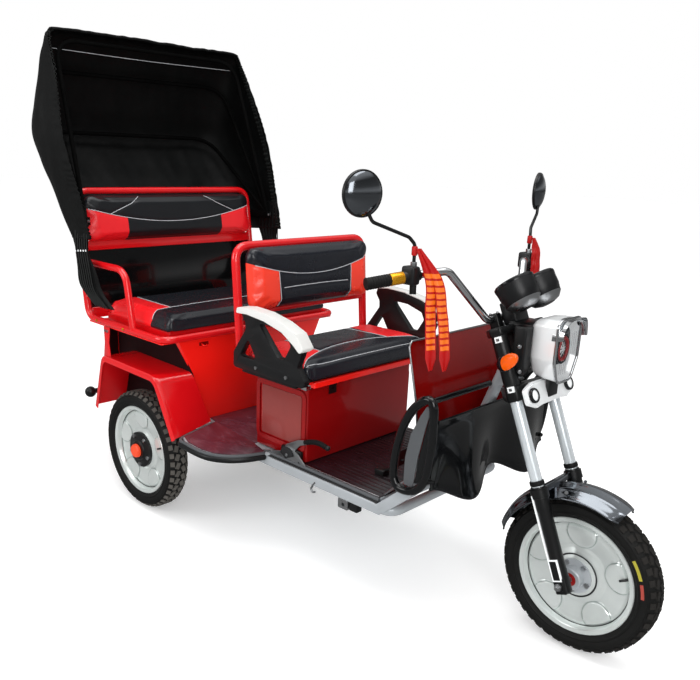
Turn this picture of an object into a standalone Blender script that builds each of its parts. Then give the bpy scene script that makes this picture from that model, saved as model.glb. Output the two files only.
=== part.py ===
"""Electric rickshaw: three wheels, a driver's bench, a passenger bench and a folding hood.

Axes: +X forward, +Y to the vehicle's left, +Z up, tyres on z = 0. Sizes are given with x = 0
at the rear axle; the last step moves everything so that the middle of the length is at x = 0.
"""
import math

import bmesh
import bpy
from mathutils import Matrix, Vector

# Driving dimensions, metres.
WHEELBASE = 1.542
HALF_TRACK = 0.391
TYRE_RADIUS = 0.225
TYRE_WIDTH = 0.083
RIM_LIP_RADIUS = 0.167
REAR_HUB_HALF = 0.040
WHEEL_SIDES = 32
REAR_END_X = -0.688
FRONT_END_X = WHEELBASE + TYRE_RADIUS
MIDDLE_X = (REAR_END_X + FRONT_END_X) / 2
GAP = 0.0003
MOVING_GAP = 0.006
SHEET = 0.003

RAKE = math.radians(23.3)
FORK_OFFSET = 0.050
STEER_BASE = Vector((WHEELBASE - 0.151, 0.0, 0.4538))
STEER_UP = Vector((-math.sin(RAKE), 0.0, math.cos(RAKE)))
STEER_FRONT = Vector((math.cos(RAKE), 0.0, math.sin(RAKE)))
FORK_HALF = 0.094
CROWN_LOW = (0.2347, 0.2747)
CROWN_HIGH = (0.4140, 0.4380)
HEAD_TUBE = (CROWN_LOW[1] + MOVING_GAP, CROWN_HIGH[0] - MOVING_GAP)
AXLE_S = -0.2707
AXLE_RADIUS = 0.007
BAR_AT = (0.463, 0.0153)
BAR_RADIUS = 0.011
HEAD_BORE = 0.019

RAIL = 0.031
RAIL_TOP = 0.3375
RAIL_Y = 0.270
BEAM_Y = 0.240
FLOOR_BOTTOM = RAIL_TOP + GAP
FLOOR_TOP = 0.3520
FLOOR_HALF = 0.270
FRONT_OF_FLOOR = WHEELBASE - 0.502

TUBE = 0.0125
FRONT_BOX_X = (0.472, 0.716)
FRONT_BOX_HALF = 0.254
FRONT_BOX_TOP = 0.6117
FRONT_PAN_X = (0.4588, 0.765)
FRONT_PAN_HALF = 0.3125
FRONT_PAN_Z = (0.6120, 0.6520)
FRONT_CUSHION_TOP = 0.705
FRONT_BACK_HALF = 0.300
FRONT_BACK_FOOT = (0.446, 0.622)
FRONT_BACK_HEAD = (0.412, 1.012)

REAR_BOX_X = (-0.330, 0.160)
REAR_BOX_HALF = 0.300
REAR_BOX_TOP = 0.660
REAR_FRAME_HALF = 0.415
DECK_HALF = REAR_FRAME_HALF + 0.003
REAR_FRAME_Z = 0.6727
REAR_BACK_FOOT = (-0.335, REAR_FRAME_Z)
REAR_BACK_HEAD = (-0.400, 1.140)
REAR_CROSS_Z = 0.935
REAR_PAN_X = (-0.262, 0.146)
REAR_TUBE_FRONT = 0.1735
REAR_TUBE_BEND = 0.055
REAR_PAN_HALF = REAR_FRAME_HALF - 0.035
REAR_PAN_Z = (0.6605, 0.7000)
REAR_CUSHION_TOP = 0.750

HOOD_HALF = REAR_FRAME_HALF + 0.045
# Hood sections, from the bottom up and over: front edge x, z; back x, z; half width.
HOOD_ROWS = (
    (-0.205, 0.960, -0.450, 0.955, HOOD_HALF - 0.002),
    (-0.232, 1.060, -0.505, 1.065, HOOD_HALF),
    (-0.262, 1.150, -0.570, 1.165, HOOD_HALF),
    (-0.292, 1.235, -0.635, 1.245, HOOD_HALF),
    (-0.330, 1.340, -0.688, 1.350, HOOD_HALF),
    (-0.365, 1.440, -0.660, 1.450, HOOD_HALF - 0.002),
    (-0.402, 1.530, -0.622, 1.550, HOOD_HALF - 0.006),
    (-0.440, 1.610, -0.570, 1.640, HOOD_HALF - 0.014),
    (-0.470, 1.665, -0.520, 1.690, HOOD_HALF - 0.022),
    (-0.480, 1.690, -0.474, 1.702, HOOD_HALF - 0.030),
)
HOOD_THICKNESS = 0.004
HOOD_BOXINESS = 0.36
HOOD_PIVOT = Vector((-0.275, REAR_FRAME_HALF + 0.025, 1.040))
# Hood bows: x and z of each top bar and its half width at the bends.
BOW_TOPS = ((-0.484, 1.670, HOOD_HALF - 0.048), (-0.575, 1.568, HOOD_HALF - 0.042),
            (-0.648, 1.352, HOOD_HALF - 0.064))
BOW_RADIUS = 0.008

FENDER_OUT = REAR_FRAME_HALF + 0.015
FENDER_IN = REAR_BOX_HALF + GAP
FENDER_ARCH = ((-0.289, 0.330), (-0.223, 0.545), (0.129, 0.540), (0.245, 0.340))

# Material table: colour, metallic, roughness.
PAINTS = {
    "red_paint": ((0.55, 0.008, 0.010), 0.0, 0.25),
    "maroon_paint": ((0.16, 0.006, 0.010), 0.0, 0.25),
    "grey_steel": ((0.30, 0.31, 0.32), 0.6, 0.45),
    "black_paint": ((0.012, 0.012, 0.013), 0.0, 0.30),
    "black_plastic": ((0.015, 0.015, 0.016), 0.0, 0.50),
    "black_vinyl": ((0.018, 0.019, 0.024), 0.0, 0.40),
    "black_fabric": ((0.010, 0.010, 0.011), 0.0, 0.90),
    "floor_mat": ((0.030, 0.012, 0.018), 0.0, 0.35),
    "chrome": ((0.75, 0.75, 0.76), 1.0, 0.12),
    "zinc_wheel": ((0.58, 0.60, 0.60), 0.8, 0.35),
    "tyre_rubber": ((0.020, 0.020, 0.020), 0.0, 0.85),
    "orange_lens": ((0.85, 0.20, 0.01), 0.0, 0.20),
    "red_lens": ((0.60, 0.01, 0.01), 0.0, 0.20),
    "battery_case": ((0.10, 0.10, 0.11), 0.0, 0.60),
}


def clear_scene():
    """Remove every object of the start-up scene."""
    for obj in list(bpy.data.objects):
        bpy.data.objects.remove(obj)


def new_collection(name):
    """Make a collection linked to the scene."""
    group = bpy.data.collections.new(name)
    bpy.context.scene.collection.children.link(group)
    return group


clear_scene()
PARTS = new_collection("electric_rickshaw")
TOOLS = new_collection("electric_rickshaw_tools")


def steer(s, f=0.0, y=0.0):
    """World point from distance up the steering axis, distance in front of it and y."""
    return STEER_BASE + STEER_UP * s + STEER_FRONT * f + Vector((0.0, y, 0.0))


def ahead(points):
    """Points whose x is measured from the front axle, moved to where that axle is."""
    return [(WHEELBASE + p[0], *p[1:]) for p in points]


def lean_x(foot, head, z):
    """X of a leaning frame line at height z."""
    t = (z - foot[1]) / (head[1] - foot[1])
    return foot[0] + t * (head[0] - foot[0])


def paint(obj, kind):
    """Give an object its own Principled material."""
    colour, metallic, roughness = PAINTS[kind]
    mat = bpy.data.materials.new(f"{obj.name}_{kind}")
    mat.use_nodes = True
    shader = mat.node_tree.nodes["Principled BSDF"]
    shader.inputs["Base Color"].default_value = (*colour, 1.0)
    shader.inputs["Metallic"].default_value = metallic
    shader.inputs["Roughness"].default_value = roughness
    obj.data.materials.clear()
    obj.data.materials.append(mat)


def place(name, mesh, group=None):
    """Link a mesh as an object of the given collection."""
    obj = bpy.data.objects.new(name, mesh)
    (group or TOOLS).objects.link(obj)
    if group is None:
        obj.hide_render = True
        obj.display_type = "WIRE"
    return obj


def mesh_of(bm, name):
    """Turn a bmesh into a mesh with outward normals."""
    bmesh.ops.recalc_face_normals(bm, faces=bm.faces)
    if bm.calc_volume(signed=True) < 0:
        bmesh.ops.reverse_faces(bm, faces=bm.faces)
    mesh = bpy.data.meshes.new(name)
    bm.to_mesh(mesh)
    bm.free()
    return mesh


def soften(obj, width, segments=2, angle=30.0):
    """Round the edges of an object with a Bevel."""
    mod = obj.modifiers.new("Bevel", "BEVEL")
    mod.width = width
    mod.segments = segments
    mod.limit_method = "ANGLE"
    mod.angle_limit = math.radians(angle)
    mod.use_clamp_overlap = True
    return obj


def block(name, x, y, z, edge=0.0, matrix=None, segments=2):
    """Box between the given limits, turned by a matrix and with rounded edges."""
    bm = bmesh.new()
    bmesh.ops.create_cube(bm, size=1.0)
    size = Matrix.Diagonal((x[1] - x[0], y[1] - y[0], z[1] - z[0], 1.0))
    middle = Matrix.Translation(((x[0] + x[1]) / 2, (y[0] + y[1]) / 2, (z[0] + z[1]) / 2))
    bmesh.ops.transform(bm, matrix=(matrix or Matrix()) @ middle @ size, verts=bm.verts)
    obj = place(name, mesh_of(bm, name))
    if edge:
        soften(obj, edge, segments)
    return obj


def steer_block(name, s, f, y, edge=0.0):
    """Box in steering axes: s up the axis, f in front of it."""
    frame = Matrix((STEER_FRONT, (0.0, 1.0, 0.0), STEER_UP)).transposed().to_4x4()
    frame.translation = STEER_BASE
    return block(name, f, y, s, edge, frame)


def steer_plate(name, outline, s):
    """Flat plate in steering axes from its outline as (distance in front, y)."""
    plate = prism(name, [outline], s[0], s[1], "z")
    frame = Matrix((STEER_FRONT, (0.0, 1.0, 0.0), STEER_UP)).transposed().to_4x4()
    frame.translation = STEER_BASE
    plate.data.transform(frame)
    return plate


def rod(name, start, end, radius, sides=16, end_radius=None):
    """Round bar between two points."""
    start = Vector(start)
    axis = Vector(end) - start
    bm = bmesh.new()
    bmesh.ops.create_cone(bm, cap_ends=True, segments=sides, radius1=radius,
                          radius2=radius if end_radius is None else end_radius, depth=axis.length)
    turn = axis.to_track_quat("Z", "Y").to_matrix().to_4x4()
    bmesh.ops.transform(bm, matrix=Matrix.Translation(start + axis / 2) @ turn, verts=bm.verts)
    return place(name, mesh_of(bm, name))


def ball(name, centre, radii, segments=16):
    """Ellipsoid with the given half sizes."""
    bm = bmesh.new()
    bmesh.ops.create_uvsphere(bm, u_segments=segments, v_segments=segments // 2, radius=1.0)
    bmesh.ops.transform(bm, matrix=Matrix.Translation(centre) @ Matrix.Diagonal((*radii, 1.0)), verts=bm.verts)
    return place(name, mesh_of(bm, name))


def rounded(points, radius, steps=4):
    """Path through the points with its corners rounded."""
    points = [Vector(p) for p in points]
    path = [points[0]]
    for before, corner, after in zip(points, points[1:], points[2:]):
        a = (before - corner).normalized()
        b = (after - corner).normalized()
        half = a.angle(b) / 2
        cut = min(radius / math.tan(half), 0.48 * (before - corner).length, 0.48 * (after - corner).length)
        for i in range(steps + 1):
            t = i / steps
            path.append(corner + a * cut * (1 - t) ** 2 + b * cut * t ** 2)
    path.append(points[-1])
    return path


def rounded_loop(corners, radius, steps=4):
    """Flat closed loop through the corners, rounded at each."""
    count = len(corners)
    loop = []
    for i in range(count):
        trio = [Vector((*corners[(i + k) % count], 0.0)) for k in (-1, 0, 1)]
        loop += [(p.x, p.y) for p in rounded(trio, radius, steps)[1:-1]]
    return loop


def tube(name, points, radius, bend=0.04, steps=4, closed=False):
    """Round tube along a path: a curve with bevel depth, turned into a closed mesh."""
    path = rounded(points, bend, steps) if bend and not closed else [Vector(p) for p in points]
    curve = bpy.data.curves.new(name, "CURVE")
    curve.dimensions = "3D"
    curve.bevel_depth = radius
    curve.bevel_resolution = 2
    curve.use_fill_caps = not closed
    line = curve.splines.new("POLY")
    line.points.add(len(path) - 1)
    for point, co in zip(line.points, path):
        point.co = (*co, 1.0)
    line.use_cyclic_u = closed
    draft = bpy.data.objects.new(name, curve)
    mesh = bpy.data.meshes.new_from_object(draft)
    bpy.data.objects.remove(draft)
    bpy.data.curves.remove(curve)
    bm = bmesh.new()
    bm.from_mesh(mesh)
    bpy.data.meshes.remove(mesh)
    bmesh.ops.remove_doubles(bm, verts=bm.verts, dist=0.00005)
    return place(name, mesh_of(bm, name))


def prism(name, loops, low, high, axis="y"):
    """Solid from flat loops, the first one outside and the others holes, between two depths."""
    curve = bpy.data.curves.new(name, "CURVE")
    curve.dimensions = "2D"
    curve.fill_mode = "BOTH"
    curve.extrude = (high - low) / 2
    for loop in loops:
        line = curve.splines.new("POLY")
        line.points.add(len(loop) - 1)
        for point, (u, v) in zip(line.points, loop):
            point.co = (u, v, 0.0, 1.0)
        line.use_cyclic_u = True
    draft = bpy.data.objects.new(name, curve)
    mesh = bpy.data.meshes.new_from_object(draft)
    bpy.data.objects.remove(draft)
    bpy.data.curves.remove(curve)
    bm = bmesh.new()
    bm.from_mesh(mesh)
    bpy.data.meshes.remove(mesh)
    bmesh.ops.remove_doubles(bm, verts=bm.verts, dist=0.00005)
    middle = (low + high) / 2
    for vert in bm.verts:
        u, v, w = vert.co
        if axis == "y":
            vert.co = (u, w + middle, v)
        elif axis == "x":
            vert.co = (w + middle, u, v)
        else:
            vert.co = (u, v, w + middle)
    return place(name, mesh_of(bm, name))


def turned(name, profile, centre, sides=32, direction=(0.0, 1.0, 0.0)):
    """Solid of revolution: profile of (radius, height) pairs turned about a direction."""
    mesh = bpy.data.meshes.new(name)
    verts = [(r, 0.0, h) for r, h in profile]
    closed = profile[0][0] > 0.0 and profile[-1][0] > 0.0
    edges = [(i, i + 1) for i in range(len(verts) - 1)]
    if closed:
        edges.append((len(verts) - 1, 0))
    mesh.from_pydata(verts, edges, [])
    obj = place(name, mesh)
    screw = obj.modifiers.new("Screw", "SCREW")
    screw.axis = "Z"
    screw.steps = sides
    screw.render_steps = sides
    screw.use_merge_vertices = True
    screw.merge_threshold = 0.0001
    screw.use_normal_calculate = True
    obj.rotation_euler = Vector(direction).to_track_quat("Z", "Y").to_euler()
    obj.location = centre
    return obj


def sheet(name, rows, thickness, group=None):
    """Open grid of points made solid with Solidify, inside the given surface."""
    bm = bmesh.new()
    grid = [[bm.verts.new(p) for p in row] for row in rows]
    for upper, lower in zip(grid, grid[1:]):
        for i in range(len(upper) - 1):
            bm.faces.new((upper[i], upper[i + 1], lower[i + 1], lower[i]))
    mesh = bpy.data.meshes.new(name)
    bm.to_mesh(mesh)
    bm.free()
    obj = place(name, mesh, group)
    mod = obj.modifiers.new("Solidify", "SOLIDIFY")
    mod.thickness = thickness
    mod.offset = -1.0
    mod.use_even_offset = True
    return obj


def boolean(obj, other, kind):
    """Add an exact Boolean with another object."""
    mod = obj.modifiers.new(kind.title(), "BOOLEAN")
    mod.operation = kind
    mod.solver = "EXACT"
    mod.object = other
    return obj


def part(name, kind, base, join=(), cut=(), origin=None, edge=0.0):
    """Make a named part from a base solid, more solids joined to it and solids cut from it."""
    for other in join:
        boolean(base, other, "UNION")
    for other in cut:
        boolean(base, other, "DIFFERENCE")
    if edge:
        soften(base, edge)
    TOOLS.objects.unlink(base)
    PARTS.objects.link(base)
    base.name = name
    base.hide_render = False
    base.display_type = "TEXTURED"
    paint(base, kind)
    if origin is not None:
        shift = base.matrix_basis.inverted() @ Vector(origin)
        base.data.transform(Matrix.Translation(-shift))
        base.location = origin
    return base


def mirror_y(points):
    """The same points on the other side of the vehicle."""
    return [(p[0], -p[1], p[2]) for p in points]


def build_frame():
    """Grey chassis: side rails turned up at the front, beams, cross pieces, down tube, head tube."""
    low = RAIL_TOP - RAIL
    mid = RAIL_TOP - RAIL / 2
    base = block("rail_right", (0.20, FRONT_OF_FLOOR + 0.006), (-RAIL_Y - RAIL / 2, -RAIL_Y + RAIL / 2), (low, RAIL_TOP))
    rise = ahead([(-0.512, low), (-0.490, low), (-0.376, 0.405), (-0.402, 0.425), (-0.502, RAIL_TOP),
                  (-0.512, RAIL_TOP)])
    pieces = [block("rail_left", (0.20, FRONT_OF_FLOOR + 0.006), (RAIL_Y - RAIL / 2, RAIL_Y + RAIL / 2), (low, RAIL_TOP))]
    for side in (-1, 1):
        y = side * RAIL_Y
        pieces.append(prism("rise", [rise], y - RAIL / 2 + 0.0002, y + RAIL / 2 - 0.0002))
        beam = (side * BEAM_Y - 0.014, side * BEAM_Y + 0.014)
        pieces.append(block("beam", (-0.345, 0.262), beam, (low + 0.0005, RAIL_TOP - 0.0002)))
    reach = RAIL_Y + RAIL / 2 - 0.002
    for x in (0.230, 0.560, FRONT_OF_FLOOR - 0.140, FRONT_OF_FLOOR - 0.030):
        pieces.append(block("cross", (x, x + 0.030), (-reach, reach), (low + 0.001, RAIL_TOP - 0.001)))
    for x in (-0.330, -0.060):
        pieces.append(block("beam_cross", (x, x + 0.030), (-BEAM_Y, BEAM_Y), (low + 0.001, RAIL_TOP - 0.001)))
    down = ahead([(-0.527, 0.0, mid - 0.002), (-0.480, 0.0, mid - 0.002), (-0.366, 0.0, 0.450),
                  (-0.350, 0.0, 0.600)]) + [steer(0.345)]
    pieces.append(tube("down_tube", down, 0.0165, 0.05))
    pieces.append(rod("head_tube", steer(HEAD_TUBE[0]), steer(HEAD_TUBE[1]), 0.025, 24))
    bore = rod("head_bore", steer(HEAD_TUBE[0] - 0.02), steer(HEAD_TUBE[1] + 0.02), HEAD_BORE, 24)
    part("frame", "grey_steel", base, pieces, [bore])


def build_floor():
    """One floor plate, wide at the passengers' feet and narrow at the driver's."""
    half = [(0.166, 0.226), (0.214, 0.236), (0.264, 0.411), (0.318, 0.433), (0.400, 0.437), (0.452, 0.426),
            (0.500, 0.393), (0.532, 0.345), (0.552, 0.290), (0.575, FLOOR_HALF), (FRONT_OF_FLOOR, FLOOR_HALF)]
    outline = half + [(x, -y) for x, y in reversed(half)]
    base = prism("floor", [outline], FLOOR_BOTTOM, FLOOR_TOP, "z")
    part("floor", "floor_mat", base, edge=0.002)


def build_front_seat_box():
    """Hollow steel box under the driver, open at the top below the seat pan."""
    y = (-FRONT_BOX_HALF, FRONT_BOX_HALF)
    base = block("box", FRONT_BOX_X, y, (FLOOR_TOP + GAP, FRONT_BOX_TOP + 0.010), 0.006)
    inside = block("inside", (FRONT_BOX_X[0] + SHEET, FRONT_BOX_X[1] - SHEET), (y[0] + SHEET, y[1] - SHEET),
                   (FLOOR_TOP + GAP + SHEET, FRONT_BOX_TOP + 0.02))
    above = block("above", (0.40, 0.80), (-0.30, 0.30), (FRONT_BOX_TOP, FRONT_BOX_TOP + 0.05))
    part("seat_box_front", "maroon_paint", base, (), [inside, above])


def build_rear_box():
    """Hollow body under the passengers, with a tapering front panel and a deck flange."""
    low = RAIL_TOP + GAP
    box_y = (-REAR_BOX_HALF, REAR_BOX_HALF)
    base = block("box", REAR_BOX_X, box_y, (low, REAR_BOX_TOP - 0.002))
    panel = [(-0.350, REAR_BOX_TOP), (0.350, REAR_BOX_TOP), (0.288, 0.532), (0.236, low),
             (-0.236, low), (-0.288, 0.532)]
    front = REAR_BOX_X[1]
    panel_solid = prism("panel", [panel], front - 0.002, front + 0.002, "x")
    deck = block("deck", (REAR_BOX_X[0] - 0.004, front + 0.002), (-DECK_HALF, DECK_HALF),
                 (REAR_BOX_TOP - 0.004, REAR_BOX_TOP))
    inside = block("inside", (REAR_BOX_X[0] + SHEET, front - SHEET), (box_y[0] + SHEET, box_y[1] - SHEET),
                   (low + SHEET, REAR_BOX_TOP + 0.02))
    part("rear_box", "red_paint", base, [panel_solid, deck], [inside])


def fender_rows(side):
    """Grid of a fender: inner edge, outer edge and the lip below the outer edge."""
    inner = [(x, FENDER_IN, z) for x, z in FENDER_ARCH[:2]]
    inner += [(0.1715, FENDER_IN, 0.5385), (0.205, 0.246, 0.3535)]
    outer = [(x, FENDER_OUT, z) for x, z in FENDER_ARCH]
    lip = [(x + dx, FENDER_OUT, z + dz) for (x, z), (dx, dz) in
           zip(FENDER_ARCH, ((0.018, -0.002), (0.013, -0.018), (-0.012, -0.018), (-0.020, -0.004)))]
    rows = (inner, outer, lip)
    if side > 0:
        return rows
    return [mirror_y(row) for row in rows]


def build_fenders():
    """Angular fenders beside the rear wheels with a post up to the deck."""
    for side, label in ((-1, "right"), (1, "left")):
        base = sheet("fender", fender_rows(side), SHEET)
        base.modifiers["Solidify"].offset = 0.0
        ys = sorted((side * (FENDER_OUT - 0.006), side * (FENDER_OUT - 0.002)))
        post = prism("post", [[(-0.292, 0.658), (-0.250, 0.658), (-0.190, 0.541), (-0.222, 0.541)]], *ys)
        top = sorted((side * (DECK_HALF + GAP), side * (FENDER_OUT - 0.002)))
        foot = block("foot", (-0.292, -0.262), top, (0.654, 0.6585))
        part(f"fender_{label}", "red_paint", base, [post, foot])


def build_rear_seat_frame():
    """Red tube frame: one closed run under the seat and up round the back, arms and cross bar."""
    w = REAR_FRAME_HALF
    z = REAR_FRAME_Z
    front = REAR_TUBE_FRONT
    run = [(front, 0.0, z), (front, -w, z), (REAR_BACK_FOOT[0], -w, z), (REAR_BACK_HEAD[0], -w, REAR_BACK_HEAD[1]),
           (REAR_BACK_HEAD[0], w, REAR_BACK_HEAD[1]), (REAR_BACK_FOOT[0], w, z), (front, w, z), (front, 0.0, z)]
    base = tube("run", rounded(run, REAR_TUBE_BEND)[:-1], TUBE, closed=True)
    arm = [(lean_x(REAR_BACK_FOOT, REAR_BACK_HEAD, 0.885), w, 0.885), (-0.060, w, 0.885), (-0.020, w, z)]
    cross_x = lean_x(REAR_BACK_FOOT, REAR_BACK_HEAD, REAR_CROSS_Z)
    cross = rod("cross", (cross_x, -w, REAR_CROSS_Z), (cross_x, w, REAR_CROSS_Z), TUBE, 12)
    arms = [tube("arm", arm, TUBE - 0.0004, 0.07), tube("arm", mirror_y(arm), TUBE - 0.0004, 0.07)]
    part("seat_frame_rear", "red_paint", base, [*arms, cross])


def leaning_pad(name, foot, head, depth, half, z, corner, edge):
    """Pad with round corners that leans with a seat back, its depth taken from the frame's centre line."""
    angle = math.atan2(foot[0] - head[0], head[1] - foot[1])
    middle = (z[0] + z[1]) / 2
    high = (z[1] - z[0]) / 2
    loop = rounded_loop([(-half, -high), (half, -high), (half, high), (-half, high)], corner)
    pad = prism(name, [loop], *depth, "x")
    turn = Matrix.Translation((lean_x(foot, head, middle), 0.0, middle)) @ Matrix.Rotation(-angle, 4, "Y")
    pad.data.transform(turn)
    return soften(pad, edge, 3, 45.0)


def build_rear_backs():
    """Passengers' back cushion inside the frame and the plain panel below it."""
    inner = REAR_FRAME_HALF - TUBE - 0.0004
    cushion = leaning_pad("cushion", REAR_BACK_FOOT, REAR_BACK_HEAD, (-0.012, 0.048), inner,
                          (REAR_CROSS_Z + TUBE + 0.001, REAR_BACK_HEAD[1] - TUBE - 0.001), 0.046, 0.014)
    part("seatback_rear", "black_vinyl", cushion)
    panel = leaning_pad("panel", REAR_BACK_FOOT, REAR_BACK_HEAD, (-0.006, 0.004), REAR_FRAME_HALF - TUBE - GAP,
                        (0.704, REAR_CROSS_Z - TUBE - GAP), 0.010, 0.002)
    part("back_panel_rear", "black_vinyl", panel)


def build_rear_lid():
    """Passengers' lid: pan and cushion, hinged along the back edge."""
    hinge = (REAR_PAN_X[0], 0.0, REAR_PAN_Z[1])
    y = (-REAR_PAN_HALF, REAR_PAN_HALF)
    pan = block("pan", REAR_PAN_X, y, REAR_PAN_Z, 0.004)
    part("seat_pan_rear", "red_paint", pan, origin=hinge)
    cushion = block("cushion", (REAR_PAN_X[0] + 0.017, REAR_PAN_X[1] + 0.016), (y[0] - 0.010, y[1] + 0.010),
                    (REAR_PAN_Z[1] + GAP, REAR_CUSHION_TOP), 0.018, segments=3)
    part("cushion_rear", "black_vinyl", cushion, origin=hinge)


FRONT_HINGE = (0.470, 0.0, 0.606)


def build_front_seat():
    """Driver's seat that tips as one: pan, cushion, tube back, back cushion and armrests."""
    y = (-FRONT_PAN_HALF, FRONT_PAN_HALF)
    pan = block("pan", FRONT_PAN_X, y, FRONT_PAN_Z, 0.005)
    part("seat_pan_front", "red_paint", pan, origin=FRONT_HINGE)
    cushion = block("cushion", (FRONT_PAN_X[0] + 0.006, FRONT_PAN_X[1] - 0.003), (y[0] + 0.008, y[1] - 0.008),
                    (FRONT_PAN_Z[1] + GAP, FRONT_CUSHION_TOP), 0.018, segments=3)
    part("cushion_front", "black_vinyl", cushion, origin=FRONT_HINGE)
    w = FRONT_BACK_HALF
    run = [(FRONT_BACK_FOOT[0], -w, FRONT_BACK_FOOT[1]), (FRONT_BACK_HEAD[0], -w, FRONT_BACK_HEAD[1]),
           (FRONT_BACK_HEAD[0], w, FRONT_BACK_HEAD[1]), (FRONT_BACK_FOOT[0], w, FRONT_BACK_FOOT[1])]
    base = tube("run", run, TUBE, 0.05)
    cross = []
    for z in (0.634, 0.815):
        x = lean_x(FRONT_BACK_FOOT, FRONT_BACK_HEAD, z)
        cross.append(rod("cross", (x, -w, z), (x, w, z), TUBE - 0.0006, 12))
    part("seat_frame_front", "red_paint", base, cross, origin=FRONT_HINGE)
    back = leaning_pad("back", FRONT_BACK_FOOT, FRONT_BACK_HEAD, (TUBE - GAP, 0.062), 0.280,
                       (0.790, 1.000), 0.040, 0.016)
    part("seatback_front", "black_vinyl", back, origin=FRONT_HINGE)
    plate = [(0.448, 0.632), (0.772, 0.632), (0.784, 0.650), (0.748, 0.692), (0.772, 0.752), (0.792, 0.764),
             (0.760, 0.795), (0.700, 0.818), (0.620, 0.834), (0.540, 0.838), (0.496, 0.832), (0.488, 0.814),
             (0.506, 0.788), (0.508, 0.764), (0.450, 0.684)]
    holes = [[(0.478, 0.674), (0.562, 0.674), (0.520, 0.738)],
             [(0.566, 0.798), (0.640, 0.795), (0.705, 0.775), (0.718, 0.750), (0.690, 0.704), (0.660, 0.704)]]
    pad = [(0.490, 0.820), (0.540, 0.826), (0.620, 0.821), (0.700, 0.804), (0.760, 0.778), (0.786, 0.760),
           (0.796, 0.768), (0.764, 0.799), (0.702, 0.822), (0.622, 0.838), (0.540, 0.842), (0.494, 0.836)]
    for side, label in ((-1, "right"), (1, "left")):
        near = FRONT_PAN_HALF + GAP
        support = prism("support", [plate, *holes], *sorted((side * near, side * (near + 0.022))))
        top = prism("pad", [pad], *sorted((side * (near + 0.001), side * (near + 0.046))))
        part(f"armrest_{label}", "black_plastic", support, [top], origin=FRONT_HINGE)


def build_hood():
    """Folding hood: three bows on common pivots and one cover open at the front."""
    bows = []
    px, py, pz = HOOD_PIVOT
    for x, z, half in BOW_TOPS:
        bows.append(tube("bow", [(px, -py, pz), (x, -half, z), (x, half, z), (px, py, pz)], BOW_RADIUS, 0.10))
    for side in (-1, 1):
        ys = sorted((side * (REAR_FRAME_HALF + TUBE + GAP), side * (HOOD_PIVOT.y + 0.004)))
        bows.append(block("bracket", (-0.400, HOOD_PIVOT.x + 0.012), ys, (1.026, 1.054)))
    part("hood_bows", "black_paint", bows[0], bows[1:])
    rows = []
    turns = [math.pi * i / 20 for i in range(21)]
    for fx, fz, bx, bz, half in HOOD_ROWS:
        row = []
        for a in turns:
            across = -math.copysign(abs(math.cos(a)) ** HOOD_BOXINESS, math.cos(a))
            depth = max(0.0, math.sin(a)) ** HOOD_BOXINESS
            row.append((fx + (bx - fx) * depth, half * across, fz + (bz - fz) * depth))
        rows.append(row)
    cover = sheet("cover", rows, HOOD_THICKNESS)
    cover.modifiers["Solidify"].offset = 1.0
    skirt = [(-0.196, 1.150), (-0.262, 1.130), (-0.325, 0.920), (-0.300, 0.800), (-0.200, 0.742),
             (-0.130, 0.752), (-0.205, 0.850), (-0.240, 0.930)]
    skirts = []
    for side in (-1, 1):
        ys = sorted((side * (HOOD_HALF - 0.0113), side * (HOOD_HALF + 0.0030)))
        skirts.append(prism("skirt", [skirt], *ys))
    part("hood_cover", "black_fabric", cover, skirts)


def build_leg_shield():
    """Bent red sheet in front of the driver's legs."""
    line = ahead([(-0.506, FLOOR_TOP + GAP), (-0.392, 0.462), (-0.414, 0.650), (-0.456, 0.823)])
    half = 0.240
    rows = []
    for i, (x, z) in enumerate(line):
        edge = half - (0.014 if i == len(line) - 1 else 0.0)
        rows.append([(x, -edge, z), (x, -0.08, z), (x, 0.08, z), (x, edge, z)])
        if i == len(line) - 2:
            rows.append(ahead([(-0.4525, y, 0.809) for y in (-half, -0.08, 0.08, half)]))
    base = sheet("shield", rows, 0.004)
    part("leg_shield", "red_paint", base)


def build_guard():
    """Black front guard: a tube loop on each side, top rails and a plate with two bulges."""
    loop = ahead([(-0.436, 0.455), (-0.414, 0.530), (-0.366, 0.672), (-0.352, 0.692), (-0.33, 0.699), (-0.318, 0.680),
            (-0.316, 0.620), (-0.322, 0.520), (-0.329, 0.450), (-0.346, 0.424), (-0.392, 0.411), (-0.424, 0.424)])
    y = 0.2965
    rails = []
    loops = []
    for side in (-1, 1):
        loops.append(tube("loop", [(x, side * y, z) for x, z in loop], 0.011, closed=True))
        inner = 0.0168 + GAP
        rails.append(rod("rail", *ahead([(-0.331, side * (y - 0.002), 0.694), (-0.331, side * inner, 0.694)]), 0.0085, 12))
    rows = []
    for z in (0.655, 0.590, 0.520, 0.460, 0.400):
        t = (0.655 - z) / 0.255
        row = []
        for i in range(21):
            across = -0.292 + 0.584 * i / 20
            lobe = math.sin(math.pi * across / 0.292) ** 2
            x = WHEELBASE - 0.3065 - 0.010 * t + lobe * (0.010 + 0.036 * t)
            drop = max(0.0, z - 0.655 + 0.255 * (0.80 + 0.20 * lobe))
            row.append((x, across, 0.655 - (0.655 - z) * (0.80 + 0.20 * lobe) if drop >= 0 else z))
        rows.append(row)
    plate = sheet("plate", rows, SHEET)
    part("front_guard", "black_paint", plate, [*loops, *rails])


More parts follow.
